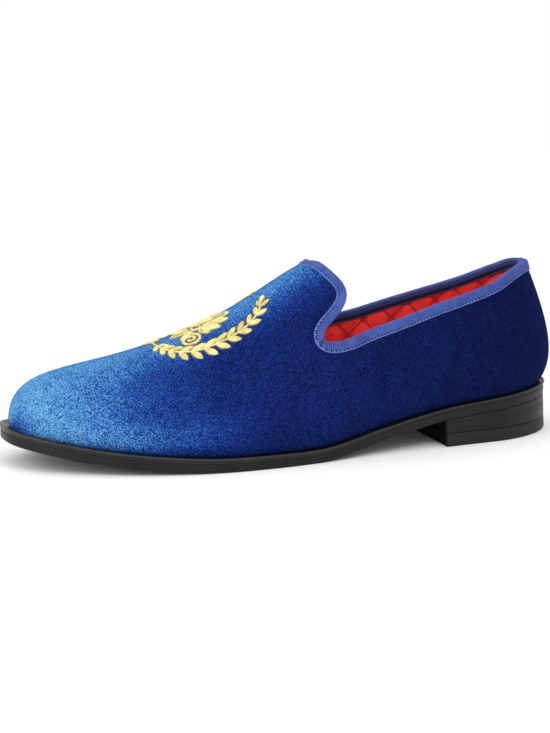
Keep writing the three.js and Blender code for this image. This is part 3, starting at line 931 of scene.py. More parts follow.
def half_topline(side):
    """Points of the skin along one half of the topline, from tab to heel, and the way off it."""
    line = LINES[side][::-1]
    place = place_at(line[:, 0], line[:, 1])
    on_shoe = (place > 0) & (line[:, 1] < feather(place) + ridge_rise(place))
    first, final = np.where(on_shoe)[0][[0, -1]]
    line = line[first - 1:final + 2]
    along = unit(np.gradient(line, axis=0))
    away = np.stack([-along[:, 1], 0 * along[:, 0], along[:, 0]], -1)
    points = skin_at(line[:, 0], line[:, 1], side)
    middle = last["swing"](np.clip(place_at(line[[0, -1], 0], line[[0, -1], 1]), 0, 1)) * BALL_WIDTH
    points[0, 1], points[-1, 1] = middle
    return points, away


def resample(run, values, wanted):
    return np.stack([np.interp(wanted, run, values[:, k]) for k in range(values.shape[1])], -1)


def soften(values, distance, softness, reach, step):
    """Evens out the values round a closed loop, near the place the distance is measured from."""
    soft = values
    for _ in range(int(2 * (softness / step) ** 2)):
        soft = (np.roll(soft, 1, axis=0) + 2 * soft + np.roll(soft, -1, axis=0)) / 4
    share = np.exp(-(distance / reach) ** 2)[:, None]
    return values + (soft - values) * share


def topline_loop(step):
    """The whole topline as a closed loop of evenly spaced points."""
    near, near_away = half_topline(-1)
    far, far_away = half_topline(1)
    points = np.vstack([near, far[::-1][1:]])
    aways = np.vstack([near_away, far_away[::-1][1:]])
    run = np.concatenate([[0], np.cumsum(np.linalg.norm(np.diff(points, axis=0), axis=1))])
    count = int(run[-1] / step)
    wanted = run[-1] * np.arange(count) / count
    points, aways = resample(run, points, wanted), unit(resample(run, aways, wanted))
    from_ridge = np.minimum(wanted, run[-1] - wanted)
    from_join = np.abs(wanted - run[-1] / 2)
    points = soften(points, from_ridge, RIDGE_SOFTNESS, RIDGE_REACH, step)
    points = soften(points, from_join, BACK_SOFTNESS, JOIN_REACH, step)
    aways = unit(soften(aways, from_join, BACK_SOFTNESS, JOIN_REACH, step))
    reach = np.where(wanted < run[-1] / 2, DROOP_NEAR, DROOP_FAR)
    droop = RIDGE_DROOP * np.exp(-(from_ridge / reach) ** 2)
    return points - aways * droop[:, None], aways, wanted, run[-1]


def ribbon_section():
    """How far into the upper and how far out from its skin, with the way across in millimetres."""
    outer, inner = OVER_VELVET + RIBBON, -WALL - OVER_LINING - RIBBON
    edge_round = [(LEG, -0.05), (LEG, 0.35), (LEG - 0.12, 0.60), (LEG - 0.4, 0.70)]
    groove = [(STITCH_FACE + 0.2, 0.72), (STITCH_FACE, 0.62), (STITCH_FACE - 0.3, 0.74),
              (STITCH_FACE - 0.7, 0.85)]
    leg = [(2.4, outer), (1.2, outer + 0.04), (0.3, outer + 0.06)]
    middle, radius = (outer + inner) / 2, (outer - inner) / 2
    turns = np.linspace(0.08, math.pi - 0.08, 11)
    rolled = [
        (-radius * FOLD_HEIGHT * math.sin(t), middle + (radius + 0.06) * math.cos(t)) for t in turns
    ]
    inside = [(0.3, inner - 0.05), (1.6, inner), (3.2, inner + 0.05), (LEG - 0.3, inner + 0.1),
              (LEG, inner + 0.3), (LEG, inner + RIBBON)]
    return np.array([*edge_round, *groove, *leg, *rolled, *inside])


def section_run(section):
    """How far round the section each of its points is, and where its fold is on that way."""
    run = np.concatenate([[0], np.cumsum(np.linalg.norm(np.diff(section, axis=0), axis=1))])
    return run, run[section[:, 0].argmin()]


def pulled_thin(count):
    """How thick the ribbon lies at each of so many points of the loop, thinner over the ridge."""
    share = np.arange(count) / count
    _, _, _, total = topline_loop(COARSE_STEP)
    from_ridge = np.minimum(share, 1 - share) * total
    return 1 - RIDGE_THIN * np.exp(-(from_ridge / THIN_REACH) ** 2)[:, None]


def ribbon_rings(points, aways, section):
    """The section placed square to the edge at each point of the loop."""
    thin = pulled_thin(len(points))
    along = unit(np.roll(points, -1, axis=0) - np.roll(points, 1, axis=0))
    face = outward(points)
    into = unit(np.cross(along, face))
    across_edge = unit(np.cross(aways, along))
    slant = (across_edge * face).sum(-1, keepdims=True)
    rings = []
    for depth_in, out in section:
        out = out * thin if out > 0 else out
        if depth_in <= 0:
            ring = points - aways * depth_in + across_edge * out / slant
        else:
            foot = snap(points + into * depth_in)
            ring = foot + outward(foot) * out
        rings.append(ring)
    return np.stack(rings, axis=1)


def pleat_runs():
    """Where the ribbon is pleated to turn its corners, as distances round the topline."""
    points, _, run, total = topline_loop(RIBBON_STEP)
    near = run < total / 2
    corner = run[near][points[near, 0].argmin()]
    far_corner = run[~near][points[~near, 0].argmin()]
    return corner + PLEAT_SETBACK, far_corner - PLEAT_SETBACK


def grosgrain():
    material, spot = start_material("grosgrain")
    run, across, _ = parts(spot.add("ShaderNodeTexCoord", output="UV"))
    x, _, _ = parts(spot)
    _, fold = section_run(ribbon_section())
    waver = noise(spot, 500, 2, 0.5)
    ribs = ((run + waver * 0.25) * (2 * math.pi / RIB_PITCH)).sine()
    selvedge_highlight = across.fade(STITCH_INSET + 0.9, STITCH_INSET + 0.4)
    to_hole = ((run / STITCH_PITCH).fraction() - 0.5).absolute() * STITCH_PITCH
    on_line = (across - (STITCH_INSET + 0.7)).absolute()
    holes = to_hole.fade(0.75, 0.50) * on_line.fade(0.55, 0.28)
    mottle = noise(spot, 120, 3, 0.6)
    tone = ribs * 0.24 + mottle * 0.7 + 0.15
    colour = tone.fade(0.1, 0.9).mix(PERIWINKLE_DARK, PERIWINKLE)
    # The lower edge is lighter: the selvedge, with a painted highlight along it.
    colour = (selvedge_highlight * 0.55).mix(colour, PERIWINKLE_LIGHT)
    # Painted shade in the stitch holes, and below in the pleats' folds.
    colour = (holes * 0.92).mix(colour, HOLE_AND_PLEAT_SHADE)
    for place in pleat_runs():
        lean = (run - place + across * 0.25).absolute()
        colour = (lean.fade(0.55, 0.15) * across.fade(1.5, 2.5) * 0.8).mix(colour, HOLE_AND_PLEAT_SHADE)
    # Painted shade: the ribbon darkens from the tab towards the heel.
    colour = (x.fade(0.02, 0.13) * RIBBON_HEEL_SHADE).mix(colour, PERIWINKLE_DARK)
    # The leg inside the shoe is painted in shade: darker than the outer leg, with a painted shadow line
    # below, lighter again at its edge.
    inside = (tone.fade(0.1, 0.9) * 0.6 + 0.3).mix(INSIDE_SHADOW_BLACK, INSIDE_SHADE_NAVY)
    inside = across.fade(fold + 3.4, fold + 5.0).mix(inside, INSIDE_SHADOW_BLACK)
    inside = (across.fade(fold + 5.8, fold + 6.1)).mix(inside, INSIDE_EDGE)
    colour = across.fade(fold + 0.2, fold + 1.6).mix(colour, inside)
    return end_material(material, spot, {
        "Base Color": colour,
        "Roughness": 0.7,
        "Specular IOR Level": 0.15,
        "Sheen Weight": 0.10,
        "Sheen Roughness": 0.45,
        "Sheen Tint": (0.5, 0.6, 1.0),
        "Normal": bump(ribs * 0.6 - holes * 1.5 + waver * 0.3, 0.25 * MM, 1.0),
    })


GROSGRAIN = grosgrain()


def sweep(name, rings, run, across, closed):
    """A mesh from the rings of a section, with the run along them and across them as its UV map."""
    count, width = rings.shape[:2]
    faces = grid_faces(count, width, wrap_rows=closed, wrap_columns=True)
    run = np.repeat(run, width)[faces]
    turned = run.max(1) - run.min(1) > (run.max() - run.min()) / 2
    run = np.where(turned[:, None] & (run < run.mean()), run + run.max() + RIBBON_STEP, run)
    uv = np.stack([run, np.tile(across, count)[faces]], -1)
    if closed:
        return build(name, rings.reshape(-1, 3), faces, uv=uv)
    caps = np.array([np.arange(width)[::-1], np.arange(width) + (count - 1) * width])
    points = np.vstack([rings.reshape(-1, 3), rings[0].mean(0), rings[-1].mean(0)])
    ends = []
    for cap, middle in zip(caps, (count * width, count * width + 1)):
        ends += [(cap[k], cap[(k + 1) % width], middle, middle) for k in range(width)]
    faces = np.vstack([faces, ends])
    uv = np.concatenate([uv, np.zeros((len(ends), 4, 2))])
    return build(name, points, faces, uv=uv)


def ribbon_body(points, aways, grow=0.0):
    """Rings of the folded ribbon, and the way across it, thicker by grow millimetres."""
    section = ribbon_section()
    across, _ = section_run(section)
    middle = np.array([0.0, section[:, 1].mean()])
    away = unit(section - middle)
    rings = ribbon_rings(points, aways, section + grow * away)
    inner_face = np.array([
        (LEG, -WALL - 0.1), (LEG * 0.5, -WALL + 0.1), (0.2, -WALL + 0.1), (0.2, -0.1), (LEG * 0.5, -0.1),
    ])
    back = ribbon_rings(points, aways, inner_face)
    across = np.concatenate([across, np.full(back.shape[1], across[-1])])
    return np.concatenate([rings, back], axis=1), across


def make_ribbon():
    points, aways, run, _ = topline_loop(RIBBON_STEP)
    rings, across = ribbon_body(points, aways)
    return sweep("topline_ribbon", rings, run, across, True)


def make_join():
    """The ribbon's end, folded over its start at the heel's back."""
    points, aways, run, total = topline_loop(RIBBON_STEP)
    covered = np.where(np.abs(run - total / 2) < JOIN_HALF)[0]
    rings, across = ribbon_body(points, aways, JOIN_LIFT)
    return sweep("ribbon_join", rings[covered], run[covered], across, False)


ribbon = make_ribbon()
finish_piece(ribbon, "grosgrain", GROSGRAIN, "topline_binding")
join = make_join()
finish_piece(join, "grosgrain", GROSGRAIN)

# %% [markdown]
# The stitches that hold the ribbon are short loops of thread, one after another along its lower
# edge. One stitch is a tapered capsule, and all of them are joined into a single mesh.

# %% Stitches on the ribbon
STITCH_LENGTH = 1.45
STITCH_WIDTH = 0.42
STITCH_STEP = 0.25          # between the points that the stitches are placed by
STITCH_REST = 0.70          # height of the ribbon's face under the thread


def tubes(paths, radii, sides=6):
    """Closed tubes along many paths of the same number of points, as one array of meshes."""
    paths = np.asarray(paths, float)
    along = unit(np.gradient(paths, axis=1))
    up = outward(paths)
    across = unit(np.cross(along, up))
    up = np.cross(across, along)
    angles = 2 * math.pi * np.arange(sides) / sides
    ring = across[:, :, None] * np.cos(angles)[:, None] + up[:, :, None] * np.sin(angles)[:, None]
    points = paths[:, :, None] + ring * np.asarray(radii)[..., None, None]
    count, length = paths.shape[:2]
    one = grid_faces(length, sides, wrap_columns=True)
    start = np.arange(count)[:, None, None] * length * sides
    return points.reshape(-1, 3), (one[None] + start).reshape(-1, 4)


def thread_material(name, dark, light, shine):
    material, spot = start_material(name)
    strands = noise(spot, 3200, 1, 0.5)
    drift = noise(spot, 240, 2, 0.5)
    colour = (strands * 0.5 + drift * 0.5).fade(0.32, 0.68).mix(dark, light)
    return end_material(material, spot, {
        "Base Color": colour,
        "Roughness": shine,
        "Sheen Weight": 0.2,
        "Sheen Roughness": 0.3,
        "Sheen Tint": light,
        "Normal": bump(strands, 0.10 * MM, 0.7),
    })


def make_stitches():
    points, aways, run, total = topline_loop(STITCH_STEP)
    along = unit(np.roll(points, -1, axis=0) - np.roll(points, 1, axis=0))
    into = unit(np.cross(along, outward(points)))
    line = snap(points + into * STITCH_FACE)
    line = line + outward(line) * (STITCH_REST * pulled_thin(len(points)))
    count = int(total / STITCH_PITCH)
    shares = np.array([-0.5, -0.4, -0.15, 0.15, 0.4, 0.5])
    dips = np.array([-0.22, -0.02, 0.05, 0.05, -0.02, -0.22])
    thick = np.array([0.25, 0.85, 1, 1, 0.85, 0.25]) * STITCH_WIDTH / 2
    middles = np.arange(count) * STITCH_PITCH
    wanted = (middles[:, None] + shares * STITCH_LENGTH) % total
    wrapped = np.vstack([line, line[:1]])
    paths = resample(np.append(run, total), wrapped, wanted.reshape(-1)).reshape(count, -1, 3)
    paths = paths + outward(paths) * dips[:, None]
    return build("ribbon_stitches", *tubes(paths, np.tile(thick, (count, 1))))


THREAD = thread_material("ribbon_thread", PERIWINKLE_DARK, PERIWINKLE_LIGHT, 0.5)
stitches = make_stitches()
finish_piece(stitches, "grosgrain", THREAD)

# %% [markdown]
# The sole is thin and black. Its edge is dressed with wax: the midsole stands out as a rounded
# lip, a fine groove runs under it, and the outsole's wall is cut back. Each layer is a plate whose
# rings follow the feather line, with a rounded wall and a bevel instead of sharp corners.

# %% Dressed edges
EDGE_BLACK = (0.0045, 0.0046, 0.0050)
EDGE_GREY = (0.0105, 0.0107, 0.0115)
RUBBER_BLACK = (0.0060, 0.0060, 0.0065)
BREAST_SHADE = (0.0010, 0.0010, 0.0012)


def edge_finish(name, dark, light, roughness, gloss, breast_shade=0.0):
    """Black edge dressing. Faces turned to the toe, under the arch, get painted shade and more roughness,
    by the last argument's share.
    """
    material, spot = start_material(name)
    facing, _, _ = parts(spot.add("ShaderNodeTexCoord", output="Normal"))
    # Painted shade on faces turned to the toe, under the arch; they are left rougher too.
    shade_and_dull = facing.fade(-0.6, -0.9) * breast_shade
    grain = noise(stretched(spot, (1.0, 1.0, 6.0)), 420, 3, 0.6)
    scuffs = noise(stretched(spot, (1.0, 1.0, 14.0)), 90, 2, 0.5)
    wax = noise(spot, 35, 2, 0.5)
    colour = (grain * 0.5 + wax * 0.5).fade(0.3, 0.7).mix(dark, light)
    polish = (grain * 0.5 + scuffs * 0.5).fade(0.3, 0.7, roughness, roughness + 0.16)
    return end_material(material, spot, {
        "Base Color": shade_and_dull.mix(colour, BREAST_SHADE),
        "Roughness": polish + shade_and_dull * 0.5,
        "Specular IOR Level": gloss,
        "Normal": bump(grain * 0.5 + scuffs * 0.5, 0.12 * MM, 0.5),
    })


LEATHER = edge_finish("dressed_edge", EDGE_BLACK, EDGE_GREY, 0.34, 0.20)
WAXED = edge_finish("waxed_lip", EDGE_BLACK, EDGE_GREY, 0.28, 0.42)
STACK = edge_finish("stack_edge", EDGE_BLACK, EDGE_GREY, 0.34, 0.20, 1.0)
RUBBER = edge_finish("lift_rubber", RUBBER_BLACK, EDGE_GREY, 0.42, 0.22, 1.0)


def level(base, drop):
    return lambda place: base(place) - drop


def flat(height):
    return lambda place: 0 * place + height


def plate(name, rings, end=1.0, stations=220, across=1, hollow=0.0):
    """A layer of the sole from its rings, top first, each with a move out and a height."""
    rim = places(stations, 0, end)
    shares = np.linspace(0, 1, across + 1)[None, :, None]
    grids = []
    for out, height in rings:
        move = out if callable(out) else lambda place, side, out=out: lip(place, side) + out
        near = outline(move, -1, rim)[:, None]
        far = outline(move, 1, rim)[:, None]
        grid = near + (far - near) * shares
        grid[-1, :, 0] += (hollow * 4 * shares * (1 - shares))[0, :, 0]
        grid[..., 2] = height(-grid[..., 0] / LENGTH)
        grids.append(grid)
    border = [np.vstack([g[:, 0], g[-1, 1:-1], g[::-1, -1]]) for g in grids]
    ring_length = len(border[0])
    wall = grid_faces(len(border), ring_length, wrap_columns=True)
    points = [np.vstack(border)]
    faces = [wall]
    start = len(points[0])
    for grid in (grids[0], grids[-1]):
        faces.append(grid_faces(grid.shape[0], grid.shape[1]) + start)
        points.append(grid.reshape(-1, 3))
        start += grid.shape[0] * grid.shape[1]
    return build(name, np.vstack(points), np.vstack(faces), weld=WELD)


# %% Midsole and outsole
CHANNEL = [
    # share of the lip's width, down from the feather line
    (-0.30, 1.00), (0.00, 1.35), (0.25, 1.30), (0.48, 0.85), (0.62, 0.48),
]
MIDSOLE_RINGS = [
    # out from the lip's line, down from the feather line
    (-1.0, 0.34), (-0.52, 0.48), (-0.2, 0.72), (-0.04, 1.02), (0.0, 1.3),
    (-0.05, 1.62), (-0.22, 1.92), (-0.5, 2.14), (-0.84, 2.24), (-0.9, 2.36), (-0.58, 2.50),
    (-0.5, 2.7), (-0.5, 3.0),
]
OUTSOLE_WALL = [
    # out from the lip's line, share of the wall from its top to the floor side
    (-1.15, 0.0), (-0.95, 0.02), (-0.72, 0.06), (-0.62, 0.12), (-0.56, 0.3), (-0.54, 0.55),
    (-0.58, 0.8), (-0.64, 0.9), (-0.8, 0.965), (-1.1, 1.0),
]
SEAM_DROP = MIDSOLE + 0.12
SEAT_SINK, SINK_DEPTH = 0.8, 1.2


def outsole_level(share):
    return lambda place: (feather(place) - SEAM_DROP) * (1 - share) + underside(place) * share


def lip_share(share):
    return lambda place, side: lip(place, side) * share


def sunk(drop):
    """A level under the feather line that lies deeper from the waist to the heel's back."""
    deeper = SEAT_SINK * np.clip(1 - (drop - 1) / SINK_DEPTH, 0, 1)
    return lambda place: feather(place) - drop - deeper * smooth_step(0.60, 0.25, place)


midsole_rings = [(lip_share(share), sunk(drop)) for share, drop in CHANNEL]
midsole_rings += [(out, sunk(drop)) for out, drop in MIDSOLE_RINGS]
midsole = plate("midsole_lip", midsole_rings)
finish_piece(midsole, "sole_leather", WAXED, "midsole")
outsole = plate("outsole_edge", [(out, outsole_level(share)) for out, share in OUTSOLE_WALL])
finish_piece(outsole, "sole_leather", LEATHER, "outsole")

# %% [markdown]
# The heel is a block of lifts glued together and turned as one. The joints between them show as
# fine lines that run level round its back, and the last lift is rubber.

# %% Heel
HEEL_TOP_DROP = 0.08
DRESSED_FLARE = 0.9          # the wall is trimmed inside the block by this much less flare
LIFT_LINES = (0.28,)
LINE_HALF = 0.022
LINE_DEPTH = 0.2
BACK_ROUND, BACK_REACH = 1.5, 0.075


def heel_level(share):
    base = TOP_LIFT + 0.12
    return lambda place: (underside(place) - HEEL_TOP_DROP) * (1 - share) + base * share


def heel_rings():
    rings = [(-1.0, heel_level(0)), (-0.74, heel_level(0.03)), (-0.62, heel_level(0.08))]
    for line in LIFT_LINES:
        out = -SOLE_STEP + DRESSED_FLARE / 2 * line
        rings += [
            (out, heel_level(line - 2 * LINE_HALF)),
            (out - LINE_DEPTH, heel_level(line - LINE_HALF / 2)),
            (out - LINE_DEPTH, heel_level(line + LINE_HALF / 2)),
            (out, heel_level(line + 2 * LINE_HALF)),
        ]
    out = DRESSED_FLARE / 2 - SOLE_STEP
    return rings + [(out, heel_level(0.95)), (out - 0.25, heel_level(1))]


def worn_back(out, share):
    """A move out that is drawn in round the heel's back, where wear rounds the lower corner."""
    def move(place, side):
        behind = np.clip(1 - place / BACK_REACH, 0, 1)
        return lip(place, side) + out - BACK_ROUND * share * behind
    return move


def lift_rings():
    top, foot = DRESSED_FLARE / 2 - SOLE_STEP, DRESSED_FLARE - SOLE_STEP
    return [
        (top - 0.3, flat(TOP_LIFT)), (top, flat(TOP_LIFT - 0.25)), (foot - 0.1, flat(1.9)),
        (worn_back(foot - 0.04, 0.10), flat(1.2)), (worn_back(foot, 0.26), flat(0.7)),
        (worn_back(foot - 0.12, 0.52), flat(0.3)), (worn_back(foot - 0.4, 0.8), flat(0.08)),
        (worn_back(foot - 0.8, 1.0), flat(0)),
    ]


heel = plate("heel_block", heel_rings(), HEEL_SHARE, 90, 8, BREAST_HOLLOW)
finish_piece(heel, "sole_leather", STACK, "heel")
top_lift = plate("rubber_lift", lift_rings(), HEEL_SHARE, 90, 8, BREAST_HOLLOW)
finish_piece(top_lift, "heel_rubber", RUBBER, "top_lift")

# %% [markdown]
# The sock covers the insole inside. It is cut from the same quilted satin over thin foam, so its
# top is puffed as the lining is, and it rolls down at its edge.

# %% Sock
SOCK_STATIONS, SOCK_ACROSS = 170, 60
SOCK_PUFF = 0.9
SOCK_EDGE = 5.0
SOCK_INSET = 1.5
EDGE_DROP = 0.3             # how far the sock rolls down at its edge


def make_sock():
    rim = places(SOCK_STATIONS)
    near = outline(lambda place, side: -SOCK_INSET, -1, rim)[:, None]
    far = outline(lambda place, side: -SOCK_INSET, 1, rim)[:, None]
    share = (1 - np.cos(np.linspace(0, math.pi, SOCK_ACROSS + 1))) / 2
    top = near + (far - near) * share[None, :, None]
    place = -top[..., 0] / LENGTH
    width = np.linalg.norm(far - near, axis=-1)
    ends = np.minimum(rim, 1 - rim)[:, None] * LENGTH
    inset = np.minimum(np.minimum(share, 1 - share)[None, :] * width, ends)
    roll = smooth_step(0, SOCK_EDGE, inset)
    puff = SOCK_PUFF * (quilt(top[..., 0], top[..., 1]) - 1) * roll
    top[..., 2] = feather(place) - 0.02 + puff - EDGE_DROP * (1 - roll)
    under = top.copy()
    under[..., 2] = feather(place) - INSOLE + 0.1
    rows, columns = top.shape[:2]
    upper_faces = grid_faces(rows, columns)
    wall = np.concatenate([top[:, 0], top[::-1, -1]])
    foot = np.concatenate([under[:, 0], under[::-1, -1]])
    count = rows * columns
    wall_faces = grid_faces(2, len(wall), wrap_columns=True) + 2 * count
    points = np.vstack([top.reshape(-1, 3), under.reshape(-1, 3), wall, foot])
    faces = np.vstack([upper_faces, upper_faces + count, wall_faces])
    return build("satin_sock", points, faces, weld=WELD)


sock = make_sock()
finish_piece(sock, "lining", satin("sock_satin", 1), "insole")

# %% [markdown]
# Embroidery is thread laid side by side over a padded shape, so light runs along it. The motif is
# a laurel wreath round a palmette, both common ornaments. It is drawn flat, in millimetres across
# and along the vamp, as leaves and as strokes of a given width. Both are filled with real stitches,
# and each stitch is then laid on the last by its arc length from the ridge.

# %% Lay a flat drawing on the vamp
MOTIF_CENTRE = 0.644         # place of the drawing's origin along the last
ARC_SAMPLES = 160
RUN_SAMPLES = 260


def ridge_run():
    """Arc length along the ridge against place."""
    place = np.linspace(0.40, 0.85, RUN_SAMPLES)
    ridge = skin(place, math.pi / 2, 1)
    run = np.concatenate([[0], np.cumsum(np.linalg.norm(np.diff(ridge, axis=0), axis=1))])
    return place, run - np.interp(MOTIF_CENTRE, place, run)


RIDGE_PLACE, RIDGE_RUN = ridge_run()


def on_vamp(s, t):
    """The point of the vamp at s across, towards the medial side, and t along, towards the tab."""
    s, t = np.broadcast_arrays(np.asarray(s, float), np.asarray(t, float))
    place = np.interp(-t, RIDGE_RUN, RIDGE_PLACE).reshape(-1)
    side = np.where(s < 0, -1, 1).reshape(-1)
    turns = (math.pi / 2) * (1 - np.linspace(0, 0.8, ARC_SAMPLES) ** 1.3)
    section = skin(place[:, None], turns[None, :], side[:, None])
    arcs = np.cumsum(np.linalg.norm(np.diff(section, axis=1), axis=2), axis=1)
    arcs = np.hstack([np.zeros((len(place), 1)), arcs])
    wanted = np.abs(s).reshape(-1)
    turn = np.array([np.interp(w, arc, turns) for w, arc in zip(wanted, arcs)])
    return skin(place, turn, side).reshape(*s.shape, 3)


# %% Drawing of the motif
LEAF_LONG, LEAF_WIDE = 8.8, 3.1
WREATH_ACROSS, WREATH_ALONG = 23.0, 29.5
ROUNDNESS = 2.5
LEAVES = 12                 # pairs of leaves on each stem
WREATH_START, WREATH_SWEEP = -83, 139
PALMETTE_BASE = np.array([0.0, -6.5])
PETALS = [
    # turn from the middle in degrees, length, width
    (0, 18.5, 6.4), (25, 17.0, 5.4), (50, 14.5, 4.8), (76, 12.0, 4.2),
]


def on_wreath(side, angle):
    """A point of the wreath's stem, and the heading of the stem there."""
    square = (abs(math.cos(angle)) ** ROUNDNESS + abs(math.sin(angle)) ** ROUNDNESS) ** (-1 / ROUNDNESS)
    spot = square * np.array([side * WREATH_ACROSS * math.cos(angle), WREATH_ALONG * math.sin(angle)])
    heading = math.atan2(WREATH_ALONG * math.cos(angle), -side * WREATH_ACROSS * math.sin(angle))
    return spot, heading


def towards(heading, distance):
    return distance * np.array([math.cos(heading), math.sin(heading)])


def wreath():
    """Leaves as base, tip and width, in pairs along two stems, and the stems as strokes."""
    leaves, strokes = [], []
    for side in (-1, 1):
        for k in range(LEAVES):
            base, heading = on_wreath(side, math.radians(WREATH_START + WREATH_SWEEP * k / (LEAVES - 1)))
            size = 1 - 0.32 * abs(k - 5) / 6
            for splay in (-0.60, 0.60):
                start = base + towards(heading + splay, 0.7)
                leaves.append((start, start + towards(heading + splay, LEAF_LONG * size), LEAF_WIDE * size))
        base, heading = on_wreath(side, math.radians(64))
        leaves.append((base, base + towards(heading, 6.5), LEAF_WIDE * 0.8))
        stem = [on_wreath(side, math.radians(angle))[0] for angle in np.linspace(-97, 64, 60)]
        strokes.append((np.array(stem), 0.8))
    return leaves, strokes


def petal_rim(base, heading, long, wide):
    """The outline of a petal, from its base round its tip and back."""
    share = np.linspace(0, 1, 22)
    half = wide / 2 * np.sin(math.pi * share ** 0.8)
    along, across = towards(heading, 1.0), towards(heading + math.pi / 2, 1.0)
    there = base + np.outer(share * long, along) + np.outer(half, across)
    back = base + np.outer(share * long, along) - np.outer(half, across)
    return np.vstack([there, back[::-1][1:]])


def volute(side):
    """A scroll that winds in beside the palmette's foot."""
    share = np.linspace(0, 1, 40)
    start = math.atan2(5.0, -side * 11.0)
    angle = start - side * 3.4 * math.pi * share
    radius = 5.0 * (1 - share) ** 0.85 + 0.7
    spiral = np.stack([np.cos(angle), np.sin(angle)], -1) * radius[:, None]
    return spiral + [side * 10.8, -13.6]


def palmette():
    """Open petals with a vein each, a ring at their foot, two scrolls and three leaves below."""
    leaves, strokes = [], []
    for turn, long, wide in PETALS:
        for side in (-1, 1) if turn else (1,):
            heading = math.pi / 2 - side * math.radians(turn)
            foot = PALMETTE_BASE + towards(heading, 3.8)
            strokes.append((petal_rim(foot, heading, long - 3.8, wide), 1.15))
            leaves.append((foot + towards(heading, 1.5), foot + towards(heading, 0.62 * long), wide * 0.30))
    ring = [PALMETTE_BASE + towards(angle, 2.3) for angle in np.linspace(0, 2 * math.pi, 30)]
    strokes.append((np.array(ring), 1.2))
    strokes += [(volute(side), 1.25) for side in (-1, 1)]
    for turn in (180, 146, -146):
        heading = math.pi / 2 - math.radians(turn)
        foot = PALMETTE_BASE + towards(heading, 3.6)
        leaves.append((foot, foot + towards(heading, 10.5), 3.4))
    return leaves, strokes


STITCH_GAP = 0.42
PAD_HEIGHT = 0.75
THREAD_RADIUS = 0.27
OUTLINE_RADIUS = 0.34
OUTLINE_POINTS = 44
GOLD_DARK = (0.48, 0.36, 0.10)
GOLD_LIGHT = (0.93, 0.86, 0.40)
SHADOW_OUTLINE_BROWN = (0.020, 0.016, 0.020)


def leaf_stitches(base, tip, wide):
    """Slanted satin stitches from the vein to both edges of a leaf, as flat paths with heights."""
    along = tip - base
    long = np.linalg.norm(along)
    along = along / long
    across = np.array([-along[1], along[0]])
    paths, heights = [], []
    for edge in (-1, 1):
        for start in np.arange(0.2, long - 0.5, STITCH_GAP):
            half = wide / 2 * math.sin(math.pi * ((start + 0.6) / (long + 0.8)) ** 0.85)
            slant = min(0.9 * half, long - start - 0.15)
            share = np.linspace(0, 1, 4)
            out = edge * (0.10 + share * half)
            path = base + np.outer(start + slant * share, along) + np.outer(out, across)
            paths.append(path)
            heights.append(PAD_HEIGHT * np.array([0.45, 0.95, 0.8, 0.05]) * min(1, half / 1.2))
    return paths, heights


def walk(path, distances):
    """Points at distances along a flat path, with the way across it there."""
    run = np.concatenate([[0], np.cumsum(np.linalg.norm(np.diff(path, axis=0), axis=1))])
    spots = resample(run, path, distances)
    along = unit(resample(run, np.gradient(path, axis=0), distances))
    return spots, np.stack([-along[:, 1], along[:, 0]], -1), along


def stroke_stitches(path, wide):
    """Satin stitches laid across a stroke, a little slanted."""
    long = np.linalg.norm(np.diff(path, axis=0), axis=1).sum()
    spots, across, along = walk(path, np.arange(0.2, long, STITCH_GAP))
    share = np.array([-0.5, -0.2, 0.2, 0.5])[None, :, None]
    paths = spots[:, None] + share * (wide * across + 0.5 * wide * along)[:, None]
    rises = np.tile(PAD_HEIGHT * np.array([0.1, 0.85, 0.85, 0.1]) * min(1, wide / 1.3), (len(paths), 1))
    return list(paths), list(rises)


def leaf_outline(base, tip, wide):
    long = np.linalg.norm(tip - base)
    along = (tip - base) / long
    across = np.array([-along[1], along[0]])
    share = np.linspace(0, 1, OUTLINE_POINTS)
    half = (wide / 2 + 0.45) * np.sin(math.pi * share ** 0.85)
    middle = base + np.outer(share * (long + 0.3), along)
    return [middle + np.outer(edge * half, across) for edge in (-1, 1)]


def stroke_outline(path, wide):
    long = np.linalg.norm(np.diff(path, axis=0), axis=1).sum()
    spots, across, _ = walk(path, np.linspace(0, long, OUTLINE_POINTS))
    return [spots + edge * (wide / 2 + 0.25) * across for edge in (-1, 1)]


def lay(paths, heights):
    flat_paths = np.array(paths)
    spots = on_vamp(flat_paths[..., 0], flat_paths[..., 1])
    return spots + outward(spots) * np.array(heights)[..., None]


def make_embroidery():
    stitches_flat, rises, outlines = [], [], []
    for drawing in (wreath(), palmette()):
        for shapes, fill, trace in (
            (drawing[0], leaf_stitches, leaf_outline),
            (drawing[1], stroke_stitches, stroke_outline),
        ):
            for shape in shapes:
                paths, heights = fill(*shape)
                stitches_flat += paths
                rises += heights
                outlines += trace(*shape)
    laid = lay(stitches_flat, rises)
    taper = np.tile(np.array([0.8, 1, 1, 0.75]) * THREAD_RADIUS, (len(laid), 1))
    gold = build("gold_embroidery", *tubes(laid, taper, 5))
    # Thin dark tubes round each shape stand in for the shadow and crushed pile at the threads' edges.
    traced = lay(outlines, np.full((len(outlines), OUTLINE_POINTS), 0.06))
    radii = np.full(traced.shape[:2], OUTLINE_RADIUS)
    dark = build("embroidery_shadow_outline", *tubes(traced, radii, 4))
    return gold, dark


GOLD = thread_material("gold_thread", GOLD_DARK, GOLD_LIGHT, 0.38)
SHADOW_OUTLINE_THREAD = thread_material("shadow_outline_thread", SHADOW_OUTLINE_BROWN, GOLD_DARK, 0.6)
gold, dark = make_embroidery()
finish_piece(gold, "gold_thread", GOLD)
finish_piece(dark, "gold_thread", SHADOW_OUTLINE_THREAD)

# %% [markdown]
# The studio is plain: a pale floor under a bright even surround, a wide sun that keeps the floor
# pale to its far edge, a soft light on the toe side and one in front that reaches the lining.

# %% Floor and light
FLOOR_SIZE = 12.0
LIGHT_AIM = (0, 0, 0.04)     # the middle of the shoe


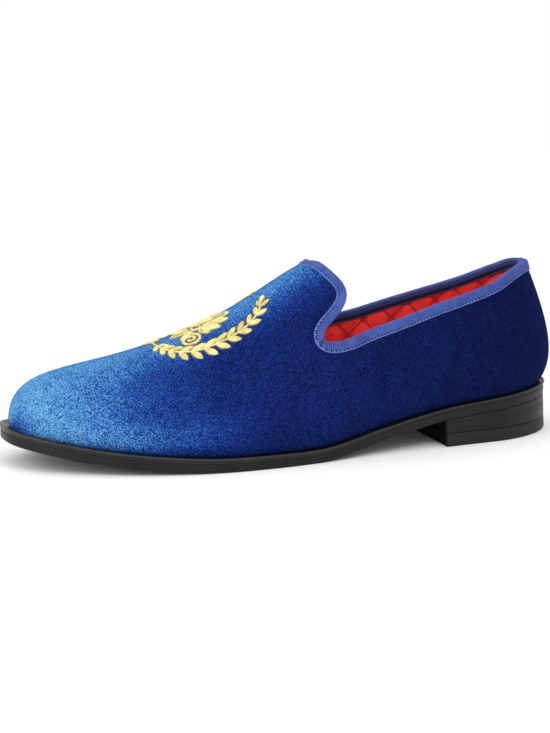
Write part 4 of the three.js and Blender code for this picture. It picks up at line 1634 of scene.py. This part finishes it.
def pale_floor():
    material, spot = start_material("pale_floor")
    tone = noise(spot, 3, 2, 0.5)
    colour = tone.mix((0.86, 0.86, 0.865), (0.88, 0.88, 0.885))
    return end_material(material, spot, {"Base Color": colour, "Roughness": 0.85})


def make_floor():
    mesh = bpy.data.meshes.new("floor")
    half = FLOOR_SIZE / 2
    corners = [(-half, -half, 0), (half, -half, 0), (half, half, 0), (-half, half, 0)]
    mesh.from_pydata(corners, [], [(0, 1, 2, 3)])
    mesh.materials.append(pale_floor())
    floor = link("floor", mesh)
    floor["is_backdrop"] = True
    return floor


def soft_light(name, place, size, power):
    data = bpy.data.lights.new(name, "AREA")
    data.shape = "RECTANGLE"
    data.size, data.size_y = size
    data.energy = power
    lamp = bpy.data.objects.new(name, data)
    bpy.context.scene.collection.objects.link(lamp)
    lamp.location = place
    lamp.rotation_euler = (Vector(LIGHT_AIM) - Vector(place)).to_track_quat("-Z", "Y").to_euler()
    return lamp


def open_sky_lamp(name, way, strength, spread):
    """A sun with a wide disc, which lights the floor evenly to its far edge."""
    data = bpy.data.lights.new(name, "SUN")
    data.energy = strength
    data.angle = math.radians(spread)
    lamp = bpy.data.objects.new(name, data)
    bpy.context.scene.collection.objects.link(lamp)
    lamp.rotation_euler = (-Vector(way)).to_track_quat("-Z", "Y").to_euler()
    return lamp


make_floor()
open_sky_lamp("even", (-0.8, -0.2, 0.8), 0.65, 90)
soft_light("toe_side", (-0.95, -0.30, 0.6), (0.7, 0.7), 3)
soft_light("front", (0.1, -1.0, 1.05), (0.9, 0.5), 5)

world = bpy.data.worlds.new("surround")
world.use_nodes = True
world.node_tree.nodes["Background"].inputs["Color"].default_value = (1, 1, 1, 1)
world.node_tree.nodes["Background"].inputs["Strength"].default_value = 1.0
bpy.context.scene.world = world
bpy.context.scene.view_settings.view_transform = "Standard"
bpy.context.scene.view_settings.look = "None"
print("lights:", [lamp.name for lamp in bpy.data.lights])

# %% [markdown]
# Last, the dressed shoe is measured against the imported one. Cloth may stand a little proud of the
# solids, and anything more would mean that a formula has drifted.

# %% Measure and finish
bpy.context.view_layer.update()
visual_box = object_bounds()
growth = [[round((b - a) / MM, 2) for a, b in zip(*pair)] for pair in zip(cad_box, visual_box)]
print("visual box against the packed one, in mm:", growth)
